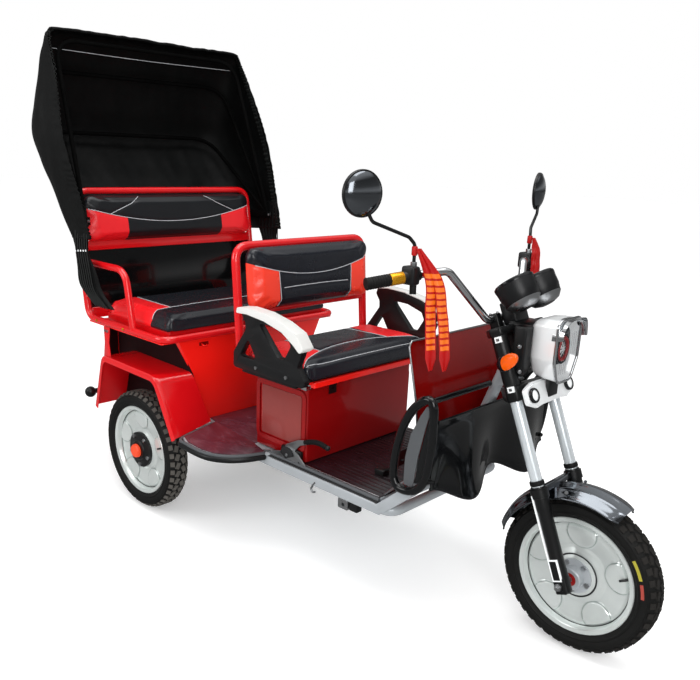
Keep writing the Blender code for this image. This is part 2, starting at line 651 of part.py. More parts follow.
def build_running_gear():
    """Rear axle with leaf springs, drums, differential and motor, all one unit."""
    y_end = HALF_TRACK - TYRE_WIDTH / 2 - 0.0095
    hub_face = HALF_TRACK - REAR_HUB_HALF - GAP
    z = TYRE_RADIUS
    base = rod("axle", (0.0, -hub_face, z), (0.0, hub_face, z), 0.020, 20)
    pieces = [ball("differential", (0.0, 0.03, z), (0.075, 0.070, 0.072), 16),
              rod("motor", (0.020, 0.03, z + 0.004), (0.215, 0.03, z + 0.004), 0.062, 24)]
    arc = [(-0.325, 0.3002), (-0.200, 0.268), (0.0, 0.250), (0.200, 0.268), (0.320, 0.3002)]
    spring = [(x, zz + 0.006) for x, zz in arc] + [(x, zz - 0.006) for x, zz in reversed(arc)]
    for side in (-1, 1):
        drum = sorted((side * (y_end - 0.034), side * y_end))
        pieces.append(rod("drum", (0.0, drum[0], z), (0.0, drum[1], z), 0.066, 28))
        pieces.append(prism("spring", [spring], side * BEAM_Y - 0.022, side * BEAM_Y + 0.022))
        pieces.append(block("seat", (-0.03, 0.03), (side * BEAM_Y - 0.026, side * BEAM_Y + 0.026), (0.215, 0.262)))
    part("rear_axle", "black_paint", base, pieces)


def build_small_pieces():
    """Battery block, handbrake, brake pedal, tail lamps and rear bumper."""
    low = RAIL_TOP + GAP + SHEET + GAP
    part("battery_pack", "battery_case", block("battery", (-0.090, 0.130), (-0.200, 0.200), (low, low + 0.170), 0.004))
    lever = tube("lever", [(0.655, -0.2625, 0.388), (0.700, -0.2625, 0.418), (0.760, -0.2625, 0.441)], 0.0065, 0.03)
    grip = rod("grip", (0.745, -0.2625, 0.436), (0.842, -0.2625, 0.452), 0.0078, 12)
    base = block("base", (0.612, 0.705), (-0.2695, -0.2555), (FLOOR_TOP + GAP, 0.408), 0.003)
    part("handbrake", "chrome", base, [lever, grip])
    arm = tube("arm", ahead([(-0.612, -0.130, 0.362), (-0.557, -0.130, 0.392), (-0.537, -0.130, 0.425)]), 0.006, 0.02)
    pad = block("pad", (WHEELBASE - 0.544, WHEELBASE - 0.534), (-0.165, -0.095), (0.405, 0.455), 0.002)
    foot = block("foot", (WHEELBASE - 0.630, WHEELBASE - 0.594), (-0.146, -0.114), (FLOOR_TOP + GAP, 0.370), 0.002)
    part("brake_pedal", "black_paint", foot, [arm, pad])
    back = REAR_BOX_X[0] - GAP
    bar = block("bar", (back - 0.012, back), (-0.285, 0.285), (0.560, 0.610))
    lamps = [block("lamp", (back - 0.038, back - 0.010), (side * 0.235 - 0.048, side * 0.235 + 0.048),
                   (0.553, 0.617), 0.008) for side in (-1, 1)]
    part("tail_lamp_bar", "red_lens", bar, lamps)
    x = -0.364
    run = rod("run", (x, -0.395, 0.361), (x, 0.395, 0.361), 0.010, 16)
    bits = []
    for side in (-1, 1):
        bits.append(ball("knob", (x, side * 0.412, 0.361), (0.022, 0.022, 0.022), 12))
        bits.append(block("stay", (x - 0.004, -0.3453), (side * BEAM_Y - 0.010, side * BEAM_Y + 0.010), (0.311, 0.361)))
    part("rear_bumper", "black_paint", run, bits)


def build_fork():
    """Steering unit's black crown piece and the two fork legs; the left leg carries the axle."""
    origin = steer(0.0)
    outline = [(-0.026, -0.046), (0.034, -0.1185), (0.074, -0.1185), (0.074, 0.1185), (0.034, 0.1185),
               (-0.026, 0.046)]
    low = steer_plate("low", outline, CROWN_LOW)
    high = steer_block("high", CROWN_HIGH, (-0.026, 0.074), (-0.118, 0.118), 0.006)
    pieces = [high, rod("stem", steer(CROWN_LOW[0] + 0.01), steer(CROWN_HIGH[1] - 0.01), HEAD_BORE - 0.0005, 24)]
    for side in (-1, 1):
        y = side * FORK_HALF
        pieces.append(rod("ear", steer(CROWN_LOW[1] - 0.01, FORK_OFFSET, y),
                          steer(CROWN_HIGH[0] + 0.01, FORK_OFFSET, y), 0.022, 20))
        pieces.append(steer_block("clamp", (CROWN_HIGH[1] - 0.01, BAR_AT[0] + 0.016), (-0.0005, 0.0310),
                                  (side * 0.040 - 0.012, side * 0.040 + 0.012), 0.003))
    bore = rod("bar_bore", steer(*BAR_AT, -0.07), steer(*BAR_AT, 0.07), BAR_RADIUS + 0.0004, 24)
    part("fork_crown", "black_paint", low, pieces, [bore], origin=origin)
    for side, label in ((-1, "right"), (1, "left")):
        y = side * FORK_HALF
        stanchion = rod("stanchion", steer(-0.03, FORK_OFFSET, y),
                        steer(CROWN_LOW[0] - GAP, FORK_OFFSET, y), 0.015, 20)
        slider = rod("slider", steer(AXLE_S - 0.022, FORK_OFFSET, y), steer(0.0, FORK_OFFSET, y), 0.021, 20)
        pieces = [slider, rod("collar", steer(-0.03, FORK_OFFSET, y), steer(-0.004, FORK_OFFSET, y), 0.0245, 20)]
        if side > 0:
            pieces.append(rod("axle", (WHEELBASE, y, TYRE_RADIUS), (WHEELBASE, -FORK_HALF + 0.0213, TYRE_RADIUS),
                              AXLE_RADIUS, 16))
        part(f"fork_leg_{label}", "chrome", stanchion, pieces, origin=origin)


GRIP_DIRECTION = Vector((-0.061, 0.135, -0.021)).normalized()
GRIP_ROOT = Vector((WHEELBASE - 0.422, 0.265, 1.012))


def build_controls():
    """Handlebar, grips with switch housings, and mirrors on bent stalks."""
    origin = steer(0.0)
    bar_centre = steer(*BAR_AT)
    half = [(bar_centre.x, 0.078, bar_centre.z), (WHEELBASE - 0.384, 0.188, 1.020),
            tuple(GRIP_ROOT - GRIP_DIRECTION * 0.020), tuple(GRIP_ROOT - GRIP_DIRECTION * 0.004)]
    middle = tuple(bar_centre)
    run = mirror_y(reversed(half)) + [middle] + half
    path = rounded(run[:4], 0.03) + [Vector(middle)] + rounded(run[5:], 0.03)
    part("handlebar", "chrome", tube("bar", path, BAR_RADIUS, 0.0), origin=origin)
    for side, label in ((-1, "right"), (1, "left")):
        flip = Vector((1.0, side, 1.0))
        start = GRIP_ROOT - GRIP_DIRECTION * (0.004 - GAP)
        base = rod("grip", start * flip, (GRIP_ROOT + GRIP_DIRECTION * 0.150) * flip, 0.0165, 20)
        centre = GRIP_ROOT + GRIP_DIRECTION * 0.023
        housing = block("housing", (centre.x - 0.021, centre.x + 0.021), sorted((side * (centre.y - 0.016),
                        side * (centre.y + 0.016))), (centre.z - 0.022, centre.z + 0.026), 0.006)
        drop = rod("drop", (centre + Vector((0.010, 0.0, -0.010))) * flip,
                   (centre + Vector((0.014, 0.004, -0.045))) * flip, 0.009, 12)
        part(f"grip_{label}", "black_plastic", base, [housing, drop], origin=origin)
        top = centre.z + 0.026 + GAP
        stalk = ahead([(-0.425, side * 0.284, top), (-0.425, side * 0.284, 1.090), (-0.434, side * 0.298, 1.108),
                       (-0.474, side * 0.397, 1.146), (-0.482, side * 0.412, 1.176)])
        facing = Vector((math.cos(math.radians(15)), side * math.sin(math.radians(15)), 0.0))
        profile = [(0.0, 0.017), (0.022, 0.015), (0.040, 0.010), (0.053, 0.003), (0.0575, -0.003),
                   (0.0575, -0.007), (0.0, -0.007)]
        disc = turned("disc", profile, (WHEELBASE - 0.488, side * 0.420, 1.213), 32, facing)
        part(f"mirror_{label}", "chrome", tube("stalk", stalk, 0.0048, 0.02, 3), [disc], origin=origin)


def build_front_lights():
    """Headlamp with the two-lamp plate below it, gauge pods and turn signals."""
    origin = steer(0.0)
    shield = [(-0.040, 0.744), (0.040, 0.744), (0.063, 0.812), (0.063, 0.896), (0.044, 0.916), (-0.044, 0.916),
              (-0.063, 0.896), (-0.063, 0.812)]
    shell = prism("shell", [rounded_loop(shield, 0.024)], WHEELBASE - 0.204, WHEELBASE - 0.116, "x")
    soften(shell, 0.014, 3)
    pieces = [steer_block("plate", (0.215, 0.272), (0.0935, 0.1000), (-0.124, 0.124), 0.002),
              steer_block("stay", (0.232, 0.268), (0.0743, 0.0960), (-0.030, 0.030)),
              block("strap", (WHEELBASE - 0.157, WHEELBASE - 0.142), (-0.022, 0.022), (0.700, 0.760))]
    for side in (-1, 1):
        y = side * 0.093
        pieces.append(rod("lamp", steer(0.240, 0.096, y), steer(0.240, 0.126, y), 0.028, 24))
    part("headlamp", "chrome", shell, pieces, origin=origin)
    bracket = steer_block("bracket", (CROWN_HIGH[1] + GAP, 0.500), (0.034, 0.075), (-0.034, 0.034), 0.004)
    pods = []
    facing = Vector((-0.42, 0.0, 0.91))
    profile = [(0.0, 0.030), (0.052, 0.030), (0.055, 0.020), (0.052, -0.006), (0.040, -0.030), (0.0, -0.036)]
    for side in (-1, 1):
        pods.append(turned("pod", profile, steer(0.515, 0.105, side * 0.054), 28, facing))
    part("gauge_pods", "black_plastic", bracket, pods, origin=origin)
    rod_x = WHEELBASE - 0.2139
    bar = rod("bar", (rod_x, -0.135, 0.797), (rod_x, 0.135, 0.797), 0.0055, 12)
    lenses = [ball("lens", (rod_x + 0.0159, side * 0.146, 0.797), (0.034, 0.026, 0.025), 14) for side in (-1, 1)]
    part("turn_signals", "orange_lens", bar, lenses, origin=origin)


def build_front_fender():
    """Curved front fender on a bridge between the fork legs."""
    rows = []
    for i in range(19):
        a = math.radians(62 + 103 * i / 18)
        row = []
        for j in range(7):
            across = -1 + 2 * j / 6
            radius = 0.258 - 0.020 * across ** 2
            row.append((WHEELBASE + radius * math.cos(a), 0.056 * across, TYRE_RADIUS + radius * math.sin(a)))
        rows.append(row)
    base = sheet("arc", rows, 0.0025)
    bridge = steer_block("bridge", (-0.022, -0.004), (0.0405, 0.0590), (-FORK_HALF + 0.0248, FORK_HALF - 0.0248))
    part("front_fender", "chrome", base, [bridge], origin=steer(0.0))


def tyre_profile():
    """Closed section of a tyre as radius and half-axial pairs."""
    w = TYRE_WIDTH / 2
    r = TYRE_RADIUS
    lip = RIM_LIP_RADIUS + 0.0004
    outer = [(lip, w - 0.010), (lip + 0.012, w - 0.003), (lip + 0.026, w), (r - 0.018, w - 0.004),
             (r - 0.007, w - 0.012), (r - 0.001, w - 0.026), (r, 0.0)]
    other = [(a, -b) for a, b in reversed(outer[:-1])]
    return outer + other + [(lip, 0.0)]


def rim_profile(hub_half, hub_radius, bore):
    """Section of a pressed wheel with its hub, as radius and axial pairs."""
    w = TYRE_WIDTH / 2
    lip = RIM_LIP_RADIUS
    out = [(bore, hub_half), (hub_radius, hub_half), (hub_radius + 0.008, 0.030), (0.085, 0.010), (0.125, 0.016),
           (0.148, 0.012), (0.152, w - 0.012), (lip - 0.002, w - 0.008), (lip, w - 0.011)]
    back = [(lip, -w + 0.011), (lip - 0.002, -w + 0.008), (0.152, -w + 0.012), (0.148, 0.004), (0.125, 0.008),
            (0.085, 0.002), (hub_radius + 0.006, -0.020), (hub_radius, -hub_half), (bore, -hub_half)]
    return out + back


def build_wheels():
    """Tyres and pressed wheels; the rear hubs reach inwards, the front hub is bored for its axle."""
    front = (WHEELBASE, 0.0, TYRE_RADIUS)
    part("tyre_front", "tyre_rubber", turned("t", tyre_profile(), front, WHEEL_SIDES))
    part("wheel_front", "zinc_wheel", turned("w", rim_profile(0.058, 0.040, AXLE_RADIUS + 0.0005), front, WHEEL_SIDES))
    for side, label in ((-1, "right"), (1, "left")):
        centre = (0.0, side * HALF_TRACK, TYRE_RADIUS)
        facing = (0.0, side, 0.0)
        part(f"tyre_rear_{label}", "tyre_rubber", turned("t", tyre_profile(), centre, WHEEL_SIDES, facing))
        profile = rim_profile(REAR_HUB_HALF, 0.046, 0.0)
        cap = [(0.0, 0.058), (0.016, 0.058), (0.020, 0.052)]
        part(f"wheel_rear_{label}", "zinc_wheel",
             turned("w", cap + profile[1:-1] + [(0.0, -REAR_HUB_HALF)], centre, WHEEL_SIDES, facing))


def centre_on_length():
    """Move everything so that the middle of the length is at x = 0."""
    for obj in bpy.data.objects:
        obj.location.x -= MIDDLE_X


build_frame()
build_floor()
build_front_seat_box()
build_rear_box()
build_fenders()
build_rear_seat_frame()
build_rear_backs()
build_rear_lid()
build_front_seat()
build_hood()
build_leg_shield()
build_guard()
build_running_gear()
build_small_pieces()
build_fork()
build_controls()
build_front_lights()
build_front_fender()
build_wheels()
centre_on_length()
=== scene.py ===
"""Visual model of an electric rickshaw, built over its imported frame.

Sizes are in metres in the vehicle's own axes: +X forward, +Y to its left, +Z up, x = 0 at the
rear axle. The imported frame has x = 0 at the middle of the length, so a finished mesh is moved
by REAR_AXLE_X at the end.
"""
import logging
from math import atan2, copysign, cos, exp, hypot, pi, radians, sin, tan
from dataclasses import dataclass, field
from enum import Enum
from typing import Callable, Sequence

import bmesh
import bpy
from mathutils import Matrix, Vector, noise
from mathutils.bvhtree import BVHTree


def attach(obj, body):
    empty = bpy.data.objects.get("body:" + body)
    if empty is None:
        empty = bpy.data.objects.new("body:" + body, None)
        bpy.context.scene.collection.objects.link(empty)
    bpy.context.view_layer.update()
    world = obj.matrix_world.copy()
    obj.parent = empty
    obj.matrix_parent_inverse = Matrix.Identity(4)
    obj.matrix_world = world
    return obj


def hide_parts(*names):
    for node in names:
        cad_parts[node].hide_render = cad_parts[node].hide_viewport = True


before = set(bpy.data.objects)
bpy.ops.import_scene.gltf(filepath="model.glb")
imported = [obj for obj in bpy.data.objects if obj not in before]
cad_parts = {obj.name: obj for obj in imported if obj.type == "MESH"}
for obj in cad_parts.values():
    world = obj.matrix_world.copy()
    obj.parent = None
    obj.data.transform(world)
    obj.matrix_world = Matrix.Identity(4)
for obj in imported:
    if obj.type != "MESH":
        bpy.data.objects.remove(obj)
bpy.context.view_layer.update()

LOG = logging.getLogger("rickshaw")

Triple = tuple[float, float, float]
Row = list[Vector]
Outline = Sequence[tuple[float, float]]
Tree = bpy.types.NodeTree
Node = bpy.types.Node
Socket = bpy.types.NodeSocket

REAR_AXLE_X = -0.5395
WHEELBASE = 1.542
HALF_TRACK = 0.391
TYRE_RADIUS = 0.225
TYRE_WIDTH = 0.083

RAKE = radians(23.3)
STEER_BASE = Vector((1.391, 0, 0.4538))
STEER_UP = Vector((-sin(RAKE), 0, cos(RAKE)))
STEER_FRONT = Vector((cos(RAKE), 0, sin(RAKE)))
STEER_TURN = Matrix.Translation(STEER_BASE) @ Matrix((STEER_FRONT, (0, 1, 0), STEER_UP)).transposed().to_4x4()
FORK_OFFSET = 0.05
FORK_HALF = 0.094
SIDES = ((-1, "right"), (1, "left"))
TUBE_Y = 0.415
TUBE_Z = 0.6727


def steer(s: float, f: float = 0.0, y: float = 0.0) -> Vector:
    """Point in vehicle axes, given up the steering axis, in front of it and to the left."""
    return STEER_BASE + STEER_UP * s + STEER_FRONT * f + Vector((0, y, 0))


def linear(code: str) -> tuple[float, float, float, float]:
    """Turn an sRGB hex colour into a linear one.

    Args:
        code: six hex digits.

    Returns:
        Red, green, blue and 1.
    """
    parts = [int(code[i:i + 2], 16) / 255 for i in (0, 2, 4)]
    flat = [c / 12.92 if c <= 0.04045 else ((c + 0.055) / 1.055) ** 2.4 for c in parts]
    return (*flat, 1)


def add(tree: Tree, kind: str, inputs: dict | Sequence = (), **settings: object) -> Node:
    """Add a node with its settings, values and links.

    Args:
        tree: the tree that gets the node.
        kind: the node's type.
        inputs: values by socket, each a plain value, a socket or a node that feeds it from its first output.
        settings: the node's own properties.

    Returns:
        The new node.
    """
    made = tree.nodes.new(kind)
    for key, value in settings.items():
        setattr(made, key, value)
    for key, value in inputs.items() if isinstance(inputs, dict) else enumerate(inputs):
        if isinstance(value, Node):
            value = value.outputs[0]
        if isinstance(value, Socket):
            tree.links.new(value, made.inputs[key])
        else:
            made.inputs[key].default_value = value
    return made


@dataclass(frozen=True)
class Finish:
    """A plain moulded or painted finish, and the base of the others.

    Attributes:
        name: the real material, used as the Blender material's name.
        slot: the record's material slot; not used.
        colour: sRGB hex colour.
        roughness: mean roughness.
        grain_mm: size of the surface's grain.
        bump: strength of the grain.
        tint: how far the colour varies.
        metallic: share of metal in the shine.
        coat: clear coat weight.
        specular: strength of the plain reflection.
    """
    name: str
    slot: str
    colour: str
    roughness: float = 0.4
    grain_mm: float = 2.0
    bump: float = 0.06
    tint: float = 0.06
    metallic: float = 0.0
    coat: float = 0.0
    specular: float = 0.5

    def material(self) -> bpy.types.Material:
        """The Blender material, made once."""
        return bpy.data.materials.get(self.name) or self.build()

    def build(self) -> bpy.types.Material:
        """Make the material's node tree.

        Returns:
            The new material.
        """
        mat = bpy.data.materials.new(self.name)
        mat.use_nodes = True
        mat.diffuse_color = linear(self.colour)
        tree = mat.node_tree
        shader = tree.nodes["Principled BSDF"]
        place = add(tree, "ShaderNodeTexCoord").outputs["Object"]
        values = {"Metallic": self.metallic, "Coat Weight": self.coat, "Coat Roughness": 0.06,
            "Specular IOR Level": self.specular, **self.extra()}
        for key, value in values.items():
            shader.inputs[key].default_value = value
        tree.links.new(self.colouring(tree, place).outputs["Result"], shader.inputs["Base Color"])
        cloud = add(tree, "ShaderNodeTexNoise", {"Vector": place, "Scale": 22, "Detail": 4})
        spread = add(tree, "ShaderNodeMapRange", {"Value": cloud, "To Min": self.roughness * 0.85,
            "To Max": self.roughness * 1.18})
        tree.links.new(spread.outputs[0], shader.inputs["Roughness"])
        relief = add(tree, "ShaderNodeBump", {"Strength": self.bump, "Distance": self.grain_mm / 2000,
            "Height": self.relief(tree, place)})
        tree.links.new(relief.outputs["Normal"], shader.inputs["Normal"])
        return mat

    def extra(self) -> dict[str, float]:
        """Shader values that only a special finish sets."""
        return {}

    def colouring(self, tree: Tree, place: Socket) -> Node:
        """The finish's colour, at a place."""
        return self.varied(tree, place, self.colour)

    def varied(self, tree: Tree, place: Socket, code: str) -> Node:
        """One colour, a little lighter and darker in clouds.

        Args:
            tree: the material's tree.
            place: object coordinates.
            code: the sRGB hex colour.

        Returns:
            The colour's node.
        """
        base = linear(code)
        light = (*[min(1, c * (1 + self.tint) + 0.002) for c in base[:3]], 1)
        dark = (*[c * (1 - self.tint) for c in base[:3]], 1)
        cloud = add(tree, "ShaderNodeTexNoise", {"Vector": place, "Scale": 9, "Detail": 5})
        return add(tree, "ShaderNodeMix", {"Factor": cloud, "A": dark, "B": light}, data_type="RGBA")

    def relief(self, tree: Tree, place: Socket) -> Node:
        """Height of the fine grain."""
        return add(tree, "ShaderNodeTexNoise", {"Vector": place, "Scale": 1000 / self.grain_mm, "Detail": 3})


@dataclass(frozen=True)
class Hide(Finish):
    """Grained vinyl with sewn side panels of a second colour.

    The panels lie where the distance from the centre plane is over panel_from and the other
    coordinate is below arc_at plus arc_rise times the distance squared.

    Attributes:
        panel: colour of the side panels.
        axis: which coordinate runs up the panel, 0 for x and 2 for z.
        panel_from: inner edge of the panels.
        arc_at: height of the seam's arc at the centre plane, in world axes.
        arc_rise: how fast the arc rises.
    """
    panel: str = ""
    axis: int = 2
    panel_from: float = 0.2
    arc_at: float = 1.0
    arc_rise: float = 0.5

    def colouring(self, tree: Tree, place: Socket) -> Node:
        """Black vinyl with coloured side panels.

        Args:
            tree: the material's tree.
            place: object coordinates.

        Returns:
            The colour's node.
        """
        plain = self.varied(tree, place, self.colour)
        axes = add(tree, "ShaderNodeSeparateXYZ", [place]).outputs
        across = add(tree, "ShaderNodeMath", (axes[1], 0), operation="ABSOLUTE")
        outside = add(tree, "ShaderNodeMath", (across, self.panel_from), operation="GREATER_THAN")
        square = add(tree, "ShaderNodeMath", (across, across), operation="MULTIPLY")
        arc = add(tree, "ShaderNodeMath", (square, self.arc_rise, self.arc_at), operation="MULTIPLY_ADD")
        below = add(tree, "ShaderNodeMath", (axes[self.axis], arc), operation="LESS_THAN")
        mask = add(tree, "ShaderNodeMath", (outside, below), operation="MULTIPLY")
        return add(tree, "ShaderNodeMix", {"Factor": mask, "A": plain.outputs["Result"],
            "B": self.varied(tree, place, self.panel).outputs["Result"]}, data_type="RGBA")

    def relief(self, tree: Tree, place: Socket) -> Node:
        """Pebbled leather grain from cell edges."""
        return add(tree, "ShaderNodeTexVoronoi", {"Vector": place, "Scale": 1000 / self.grain_mm}, feature="SMOOTH_F1")


@dataclass(frozen=True)
class Woven(Finish):
    """Cloth with crossing threads, a thread every grain_mm."""

    def relief(self, tree: Tree, place: Socket) -> Node:
        """Crossing threads in the three directions of the cloth.

        Args:
            tree: the material's tree.
            place: object coordinates.

        Returns:
            The height's node.
        """
        turn = 2 * pi * 1000 / self.grain_mm
        axes = add(tree, "ShaderNodeSeparateXYZ", [place]).outputs
        waves = [add(tree, "ShaderNodeMath", (add(tree, "ShaderNodeMath", (axis, turn), operation="MULTIPLY"), 0),
            operation="SINE") for axis in axes]
        two = add(tree, "ShaderNodeMath", waves[:2], operation="ADD")
        return add(tree, "ShaderNodeMath", (two, waves[2]), operation="ADD")


@dataclass(frozen=True)
class Brushed(Finish):
    """Metal with fine streaks along one axis, as a drawn or machined surface has."""
    along: Triple = (1, 1, 12)

    def relief(self, tree: Tree, place: Socket) -> Node:
        """Streaks: noise squeezed across the brushing."""
        squeezed = add(tree, "ShaderNodeMapping", {"Vector": place, "Scale": self.along})
        return add(tree, "ShaderNodeTexNoise", {"Vector": squeezed, "Scale": 100 / self.grain_mm, "Detail": 4})


@dataclass(frozen=True)
class Clear(Finish):
    """Clear or tinted acrylic, with fine prisms moulded in."""
    transmission: float = 0.5
    alpha: float = 1.0

    def extra(self) -> dict[str, float]:
        """Light passes through."""
        return {"Transmission Weight": self.transmission, "IOR": 1.49, "Alpha": self.alpha}


@dataclass(frozen=True)
class Streaked(Finish):
    """Worn sheet floor covering: a dark ground with paler scuffs."""
    scuff: str = "7a5560"

    def colouring(self, tree: Tree, place: Socket) -> Node:
        """Ground colour with scuffs drawn along the vehicle.

        Args:
            tree: the material's tree.
            place: object coordinates.

        Returns:
            The colour's node.
        """
        drawn = add(tree, "ShaderNodeMapping", {"Vector": place, "Scale": (6, 14, 6)})
        cloud = add(tree, "ShaderNodeTexNoise", {"Vector": drawn, "Scale": 3, "Detail": 8, "Roughness": 0.65})
        mask = add(tree, "ShaderNodeMapRange", {"Value": cloud, "From Min": 0.48, "From Max": 0.78, "To Max": 0.55})
        return add(tree, "ShaderNodeMix", {"Factor": mask, "A": self.varied(tree, place, self.colour).outputs["Result"],
            "B": linear(self.scuff)}, data_type="RGBA")


# Each finish: name, slot of the record, sRGB colour, roughness, grain in mm, bump, tint, then what sets it apart.
# Stoved enamel on sheet steel: deep colour, sharp reflections, faint orange peel.
RED_ENAMEL = Finish("red stoved enamel", "red_paint", "f21a12", 0.17, 6, 0.05, 0.04, coat=0.4)
TUBE_ENAMEL = Finish("red tube enamel", "red_paint", "cf0a12", 0.18, 5, 0.05, 0.05, coat=0.5)
DEEP_ENAMEL = Finish("deep red enamel", "maroon_paint", "850507", 0.12, 7, 0.05, 0.08, coat=0.35, specular=0.3)
# Flat enamel panels in deeper reds: they mirror the surroundings and stand off from the brighter shell.
MAROON_PANEL = Finish("maroon enamel panel", "maroon_paint", "82332f", 0.14, 7, 0.04, 0.18, coat=0.8)
SHIELD_ENAMEL = Finish("dark red shield enamel", "red_paint", "760402", 0.12, 8, 0.03, 0.1, coat=0.2, specular=0.2)
# Painted shade: a near-black red on the box sides behind the fenders stands in for their shadow; matt, so that the box
# looks deep behind its fenders.
PAINTED_SHADE_RED = Finish("dark red painted shade", "maroon_paint", "1c0406", 0.62, 3, 0.05, 0.2, specular=0.12)
# Sprayed chassis paint: a dull metallic grey that shows the drawn direction of the tube.
GREY_STEEL = Brushed("silver grey chassis paint", "grey_steel", "a9aeb2", 0.36, 1.5, 0.1, 0.1, metallic=0.3)
# Black paints and plastics, told apart by their shine: sheet mirrors, castings glow, mouldings stay dull.
BLACK_ENAMEL = Finish("black gloss enamel", "black_paint", "050607", 0.12, 6, 0.04, 0.15, coat=0.35, specular=0.3)
SATIN_BLACK = Finish("black satin paint", "black_paint", "090a0b", 0.34, 3, 0.08, 0.15, specular=0.4)
ABS = Finish("black moulded plastic", "black_plastic", "0b0c0e", 0.36, 1.6, 0.12, 0.12, specular=0.4)
GLOSS_ABS = Finish("black gloss plastic", "black_plastic", "090a0d", 0.18, 5, 0.04, 0.12)
# Foam skin of the arm pads: the one soft white spot, with a fine pore.
WHITE_PAD = Finish("white moulded foam skin", "black_plastic", "d2d2cf", 0.42, 1.4, 0.1, 0.03)
# Handled rubber: nearly no reflection, with a coarse grain.
GRIP_RUBBER = Finish("grip rubber", "black_plastic", "0c0c0c", 0.58, 0.9, 0.25, 0.15, specular=0.25)
# Leathercloth with sewn red corners: pebbled black that catches long soft highlights.
REAR_BACK_VINYL = Hide("rear back vinyl", "black_vinyl", "0f1216", 0.34, 2.4, 0.16, 0.12, panel="e0121c", axis=2,
    panel_from=0.228, arc_at=1.022, arc_rise=0.37)
FRONT_BACK_VINYL = Hide("front back vinyl", "black_vinyl", "13161e", 0.26, 2.4, 0.16, 0.12, panel="ee3a24", axis=2,
    panel_from=0.172, arc_at=0.915, arc_rise=0.6)
FRONT_SEAT_VINYL = Hide("front seat vinyl", "black_vinyl", "161920", 0.26, 2.4, 0.16, 0.12, panel="e2262a", axis=0,
    panel_from=0.165, arc_at=0.648 + REAR_AXLE_X, arc_rise=1)
REAR_SEAT_VINYL = Hide("rear seat vinyl", "black_vinyl", "13161c", 0.26, 2.4, 0.16, 0.12, panel="e81a20", axis=0,
    panel_from=0.285, arc_at=0.006 + REAR_AXLE_X, arc_rise=0.25)
# Piping: a pale line that shows where the panels meet.
THREAD = Finish("pale seam cord", "black_vinyl", "b9bcc0", 0.6, 0.8, 0.2, 0.06)
# Coated cloth: the threads break up the light, and tape, sleeve and gathered edge differ in shine. The gathered edge
# and the strips down the skirts are also a lighter grey: painted highlight on the gathers.
CANVAS = Woven("black coated canvas", "black_fabric", "060707", 0.55, 2.2, 0.1, 0.2, specular=0.14)
CANVAS_TAPE = Woven("black canvas tape", "black_fabric", "090a0a", 0.65, 1.6, 0.16, 0.2, specular=0.12)
SLEEVE = Woven("black bow sleeve", "black_fabric", "030303", 0.85, 2.2, 0.1, 0.2, specular=0.03)
GATHER_HIGHLIGHT = Woven("gathered canvas painted highlight", "black_fabric", "141615", 0.42, 1.6, 0.12, 0.2, specular=0.35)
# Plated and lacquered metal, from a clear mirror to a silvery wheel with soft streaks.
CHROME = Brushed("polished chrome plate", "chrome", "d9dbdd", 0.07, 2, 0.02, 0.03, metallic=1)
STANCHION = Brushed("hard chromed tube", "chrome", "eaf1f5", 0.2, 1.2, 0.06, 0.04, metallic=0.55)
# Lamp shell, plate and bulb: near-white, mostly diffuse chromed sheet, a painted highlight.
CHROME_PAINTED_HIGHLIGHT = Brushed("bright chromed sheet", "chrome", "eceeef", 0.2, 1.6, 0.05, 0.04, metallic=0.3)
# Fender and mirror backs: chrome with a darkened base, a painted dark reflection.
DARKENED_CHROME = Brushed("chrome darkened for painted dark reflection", "chrome", "74787d", 0.12, 2, 0.05, 0.25, metallic=1)
ZINC = Brushed("silver lacquered steel wheel", "zinc_wheel", "e4ece8", 0.22, 1.2, 0.1, 0.22, metallic=0.55, coat=0.2)
PLATED = Brushed("zinc plated fastener", "chrome", "b4b6b8", 0.28, 1, 0.1, 0.06, metallic=1)
# Painted shade: a dark line along each pressing's edge stands in for the shadow of its step.
PRESSING_SHADE_LINE = Finish("painted shade line along a pressing", "zinc_wheel", "6f7b77", 0.5, 1.2, 0.1, 0.3)
# Rubber: dull black walls, greyer and dustier where it rolls, with two paint marks.
TYRE = Finish("tyre rubber", "tyre_rubber", "0f0f0e", 0.66, 1.4, 0.25, 0.2, specular=0.25)
TREAD = Finish("worn tyre tread", "tyre_rubber", "211f1d", 0.78, 2.2, 0.3, 0.3, specular=0.2)
DUSTY_TREAD = Finish("dusty tyre tread", "tyre_rubber", "4d4a46", 0.85, 2.2, 0.3, 0.3, specular=0.2)
TYRE_YELLOW = Finish("yellow tyre mark", "tyre_rubber", "9c9322", 0.7, 1.4, 0.2, 0.06)
TYRE_RED = Finish("red tyre mark", "tyre_rubber", "9a3528", 0.7, 1.4, 0.2, 0.06)
# Worn floor sheet: paler scuffs run with the feet; grey rubber binds its edge.
REAR_MAT = Streaked("maroon sheet floor covering", "floor_mat", "4c2630", 0.24, 3, 0.06, 0.15)
FRONT_MAT = Streaked("dark sheet floor covering", "floor_mat", "15090e", 0.26, 3, 0.06, 0.15, scuff="34212a")
GREY_RUBBER = Finish("grey edge rubber", "floor_mat", "4a4d50", 0.5, 1.4, 0.15, 0.06)
# Moulded lenses and caps: saturated colour with light inside; the lamp glass is almost not there.
AMBER = Clear("amber acrylic lens", "orange_lens", "f85f00", 0.14, 3, 0.25, 0.06, transmission=0.25)
RED_LENS = Clear("red acrylic lens", "red_lens", "c00810", 0.14, 3, 0.25, 0.06, transmission=0.2)
ORANGE_CAP = Finish("orange hub cap plastic", "orange_lens", "ee4415", 0.35, 2, 0.06, 0.06)
RED_CAP = Finish("red hub paint", "red_paint", "8c0b0b", 0.3, 2, 0.06, 0.06)
GLASS = Clear("clear lamp glass", "chrome", "30363c", 0.03, 4, 0.06, 0.06, transmission=0, alpha=0.1)
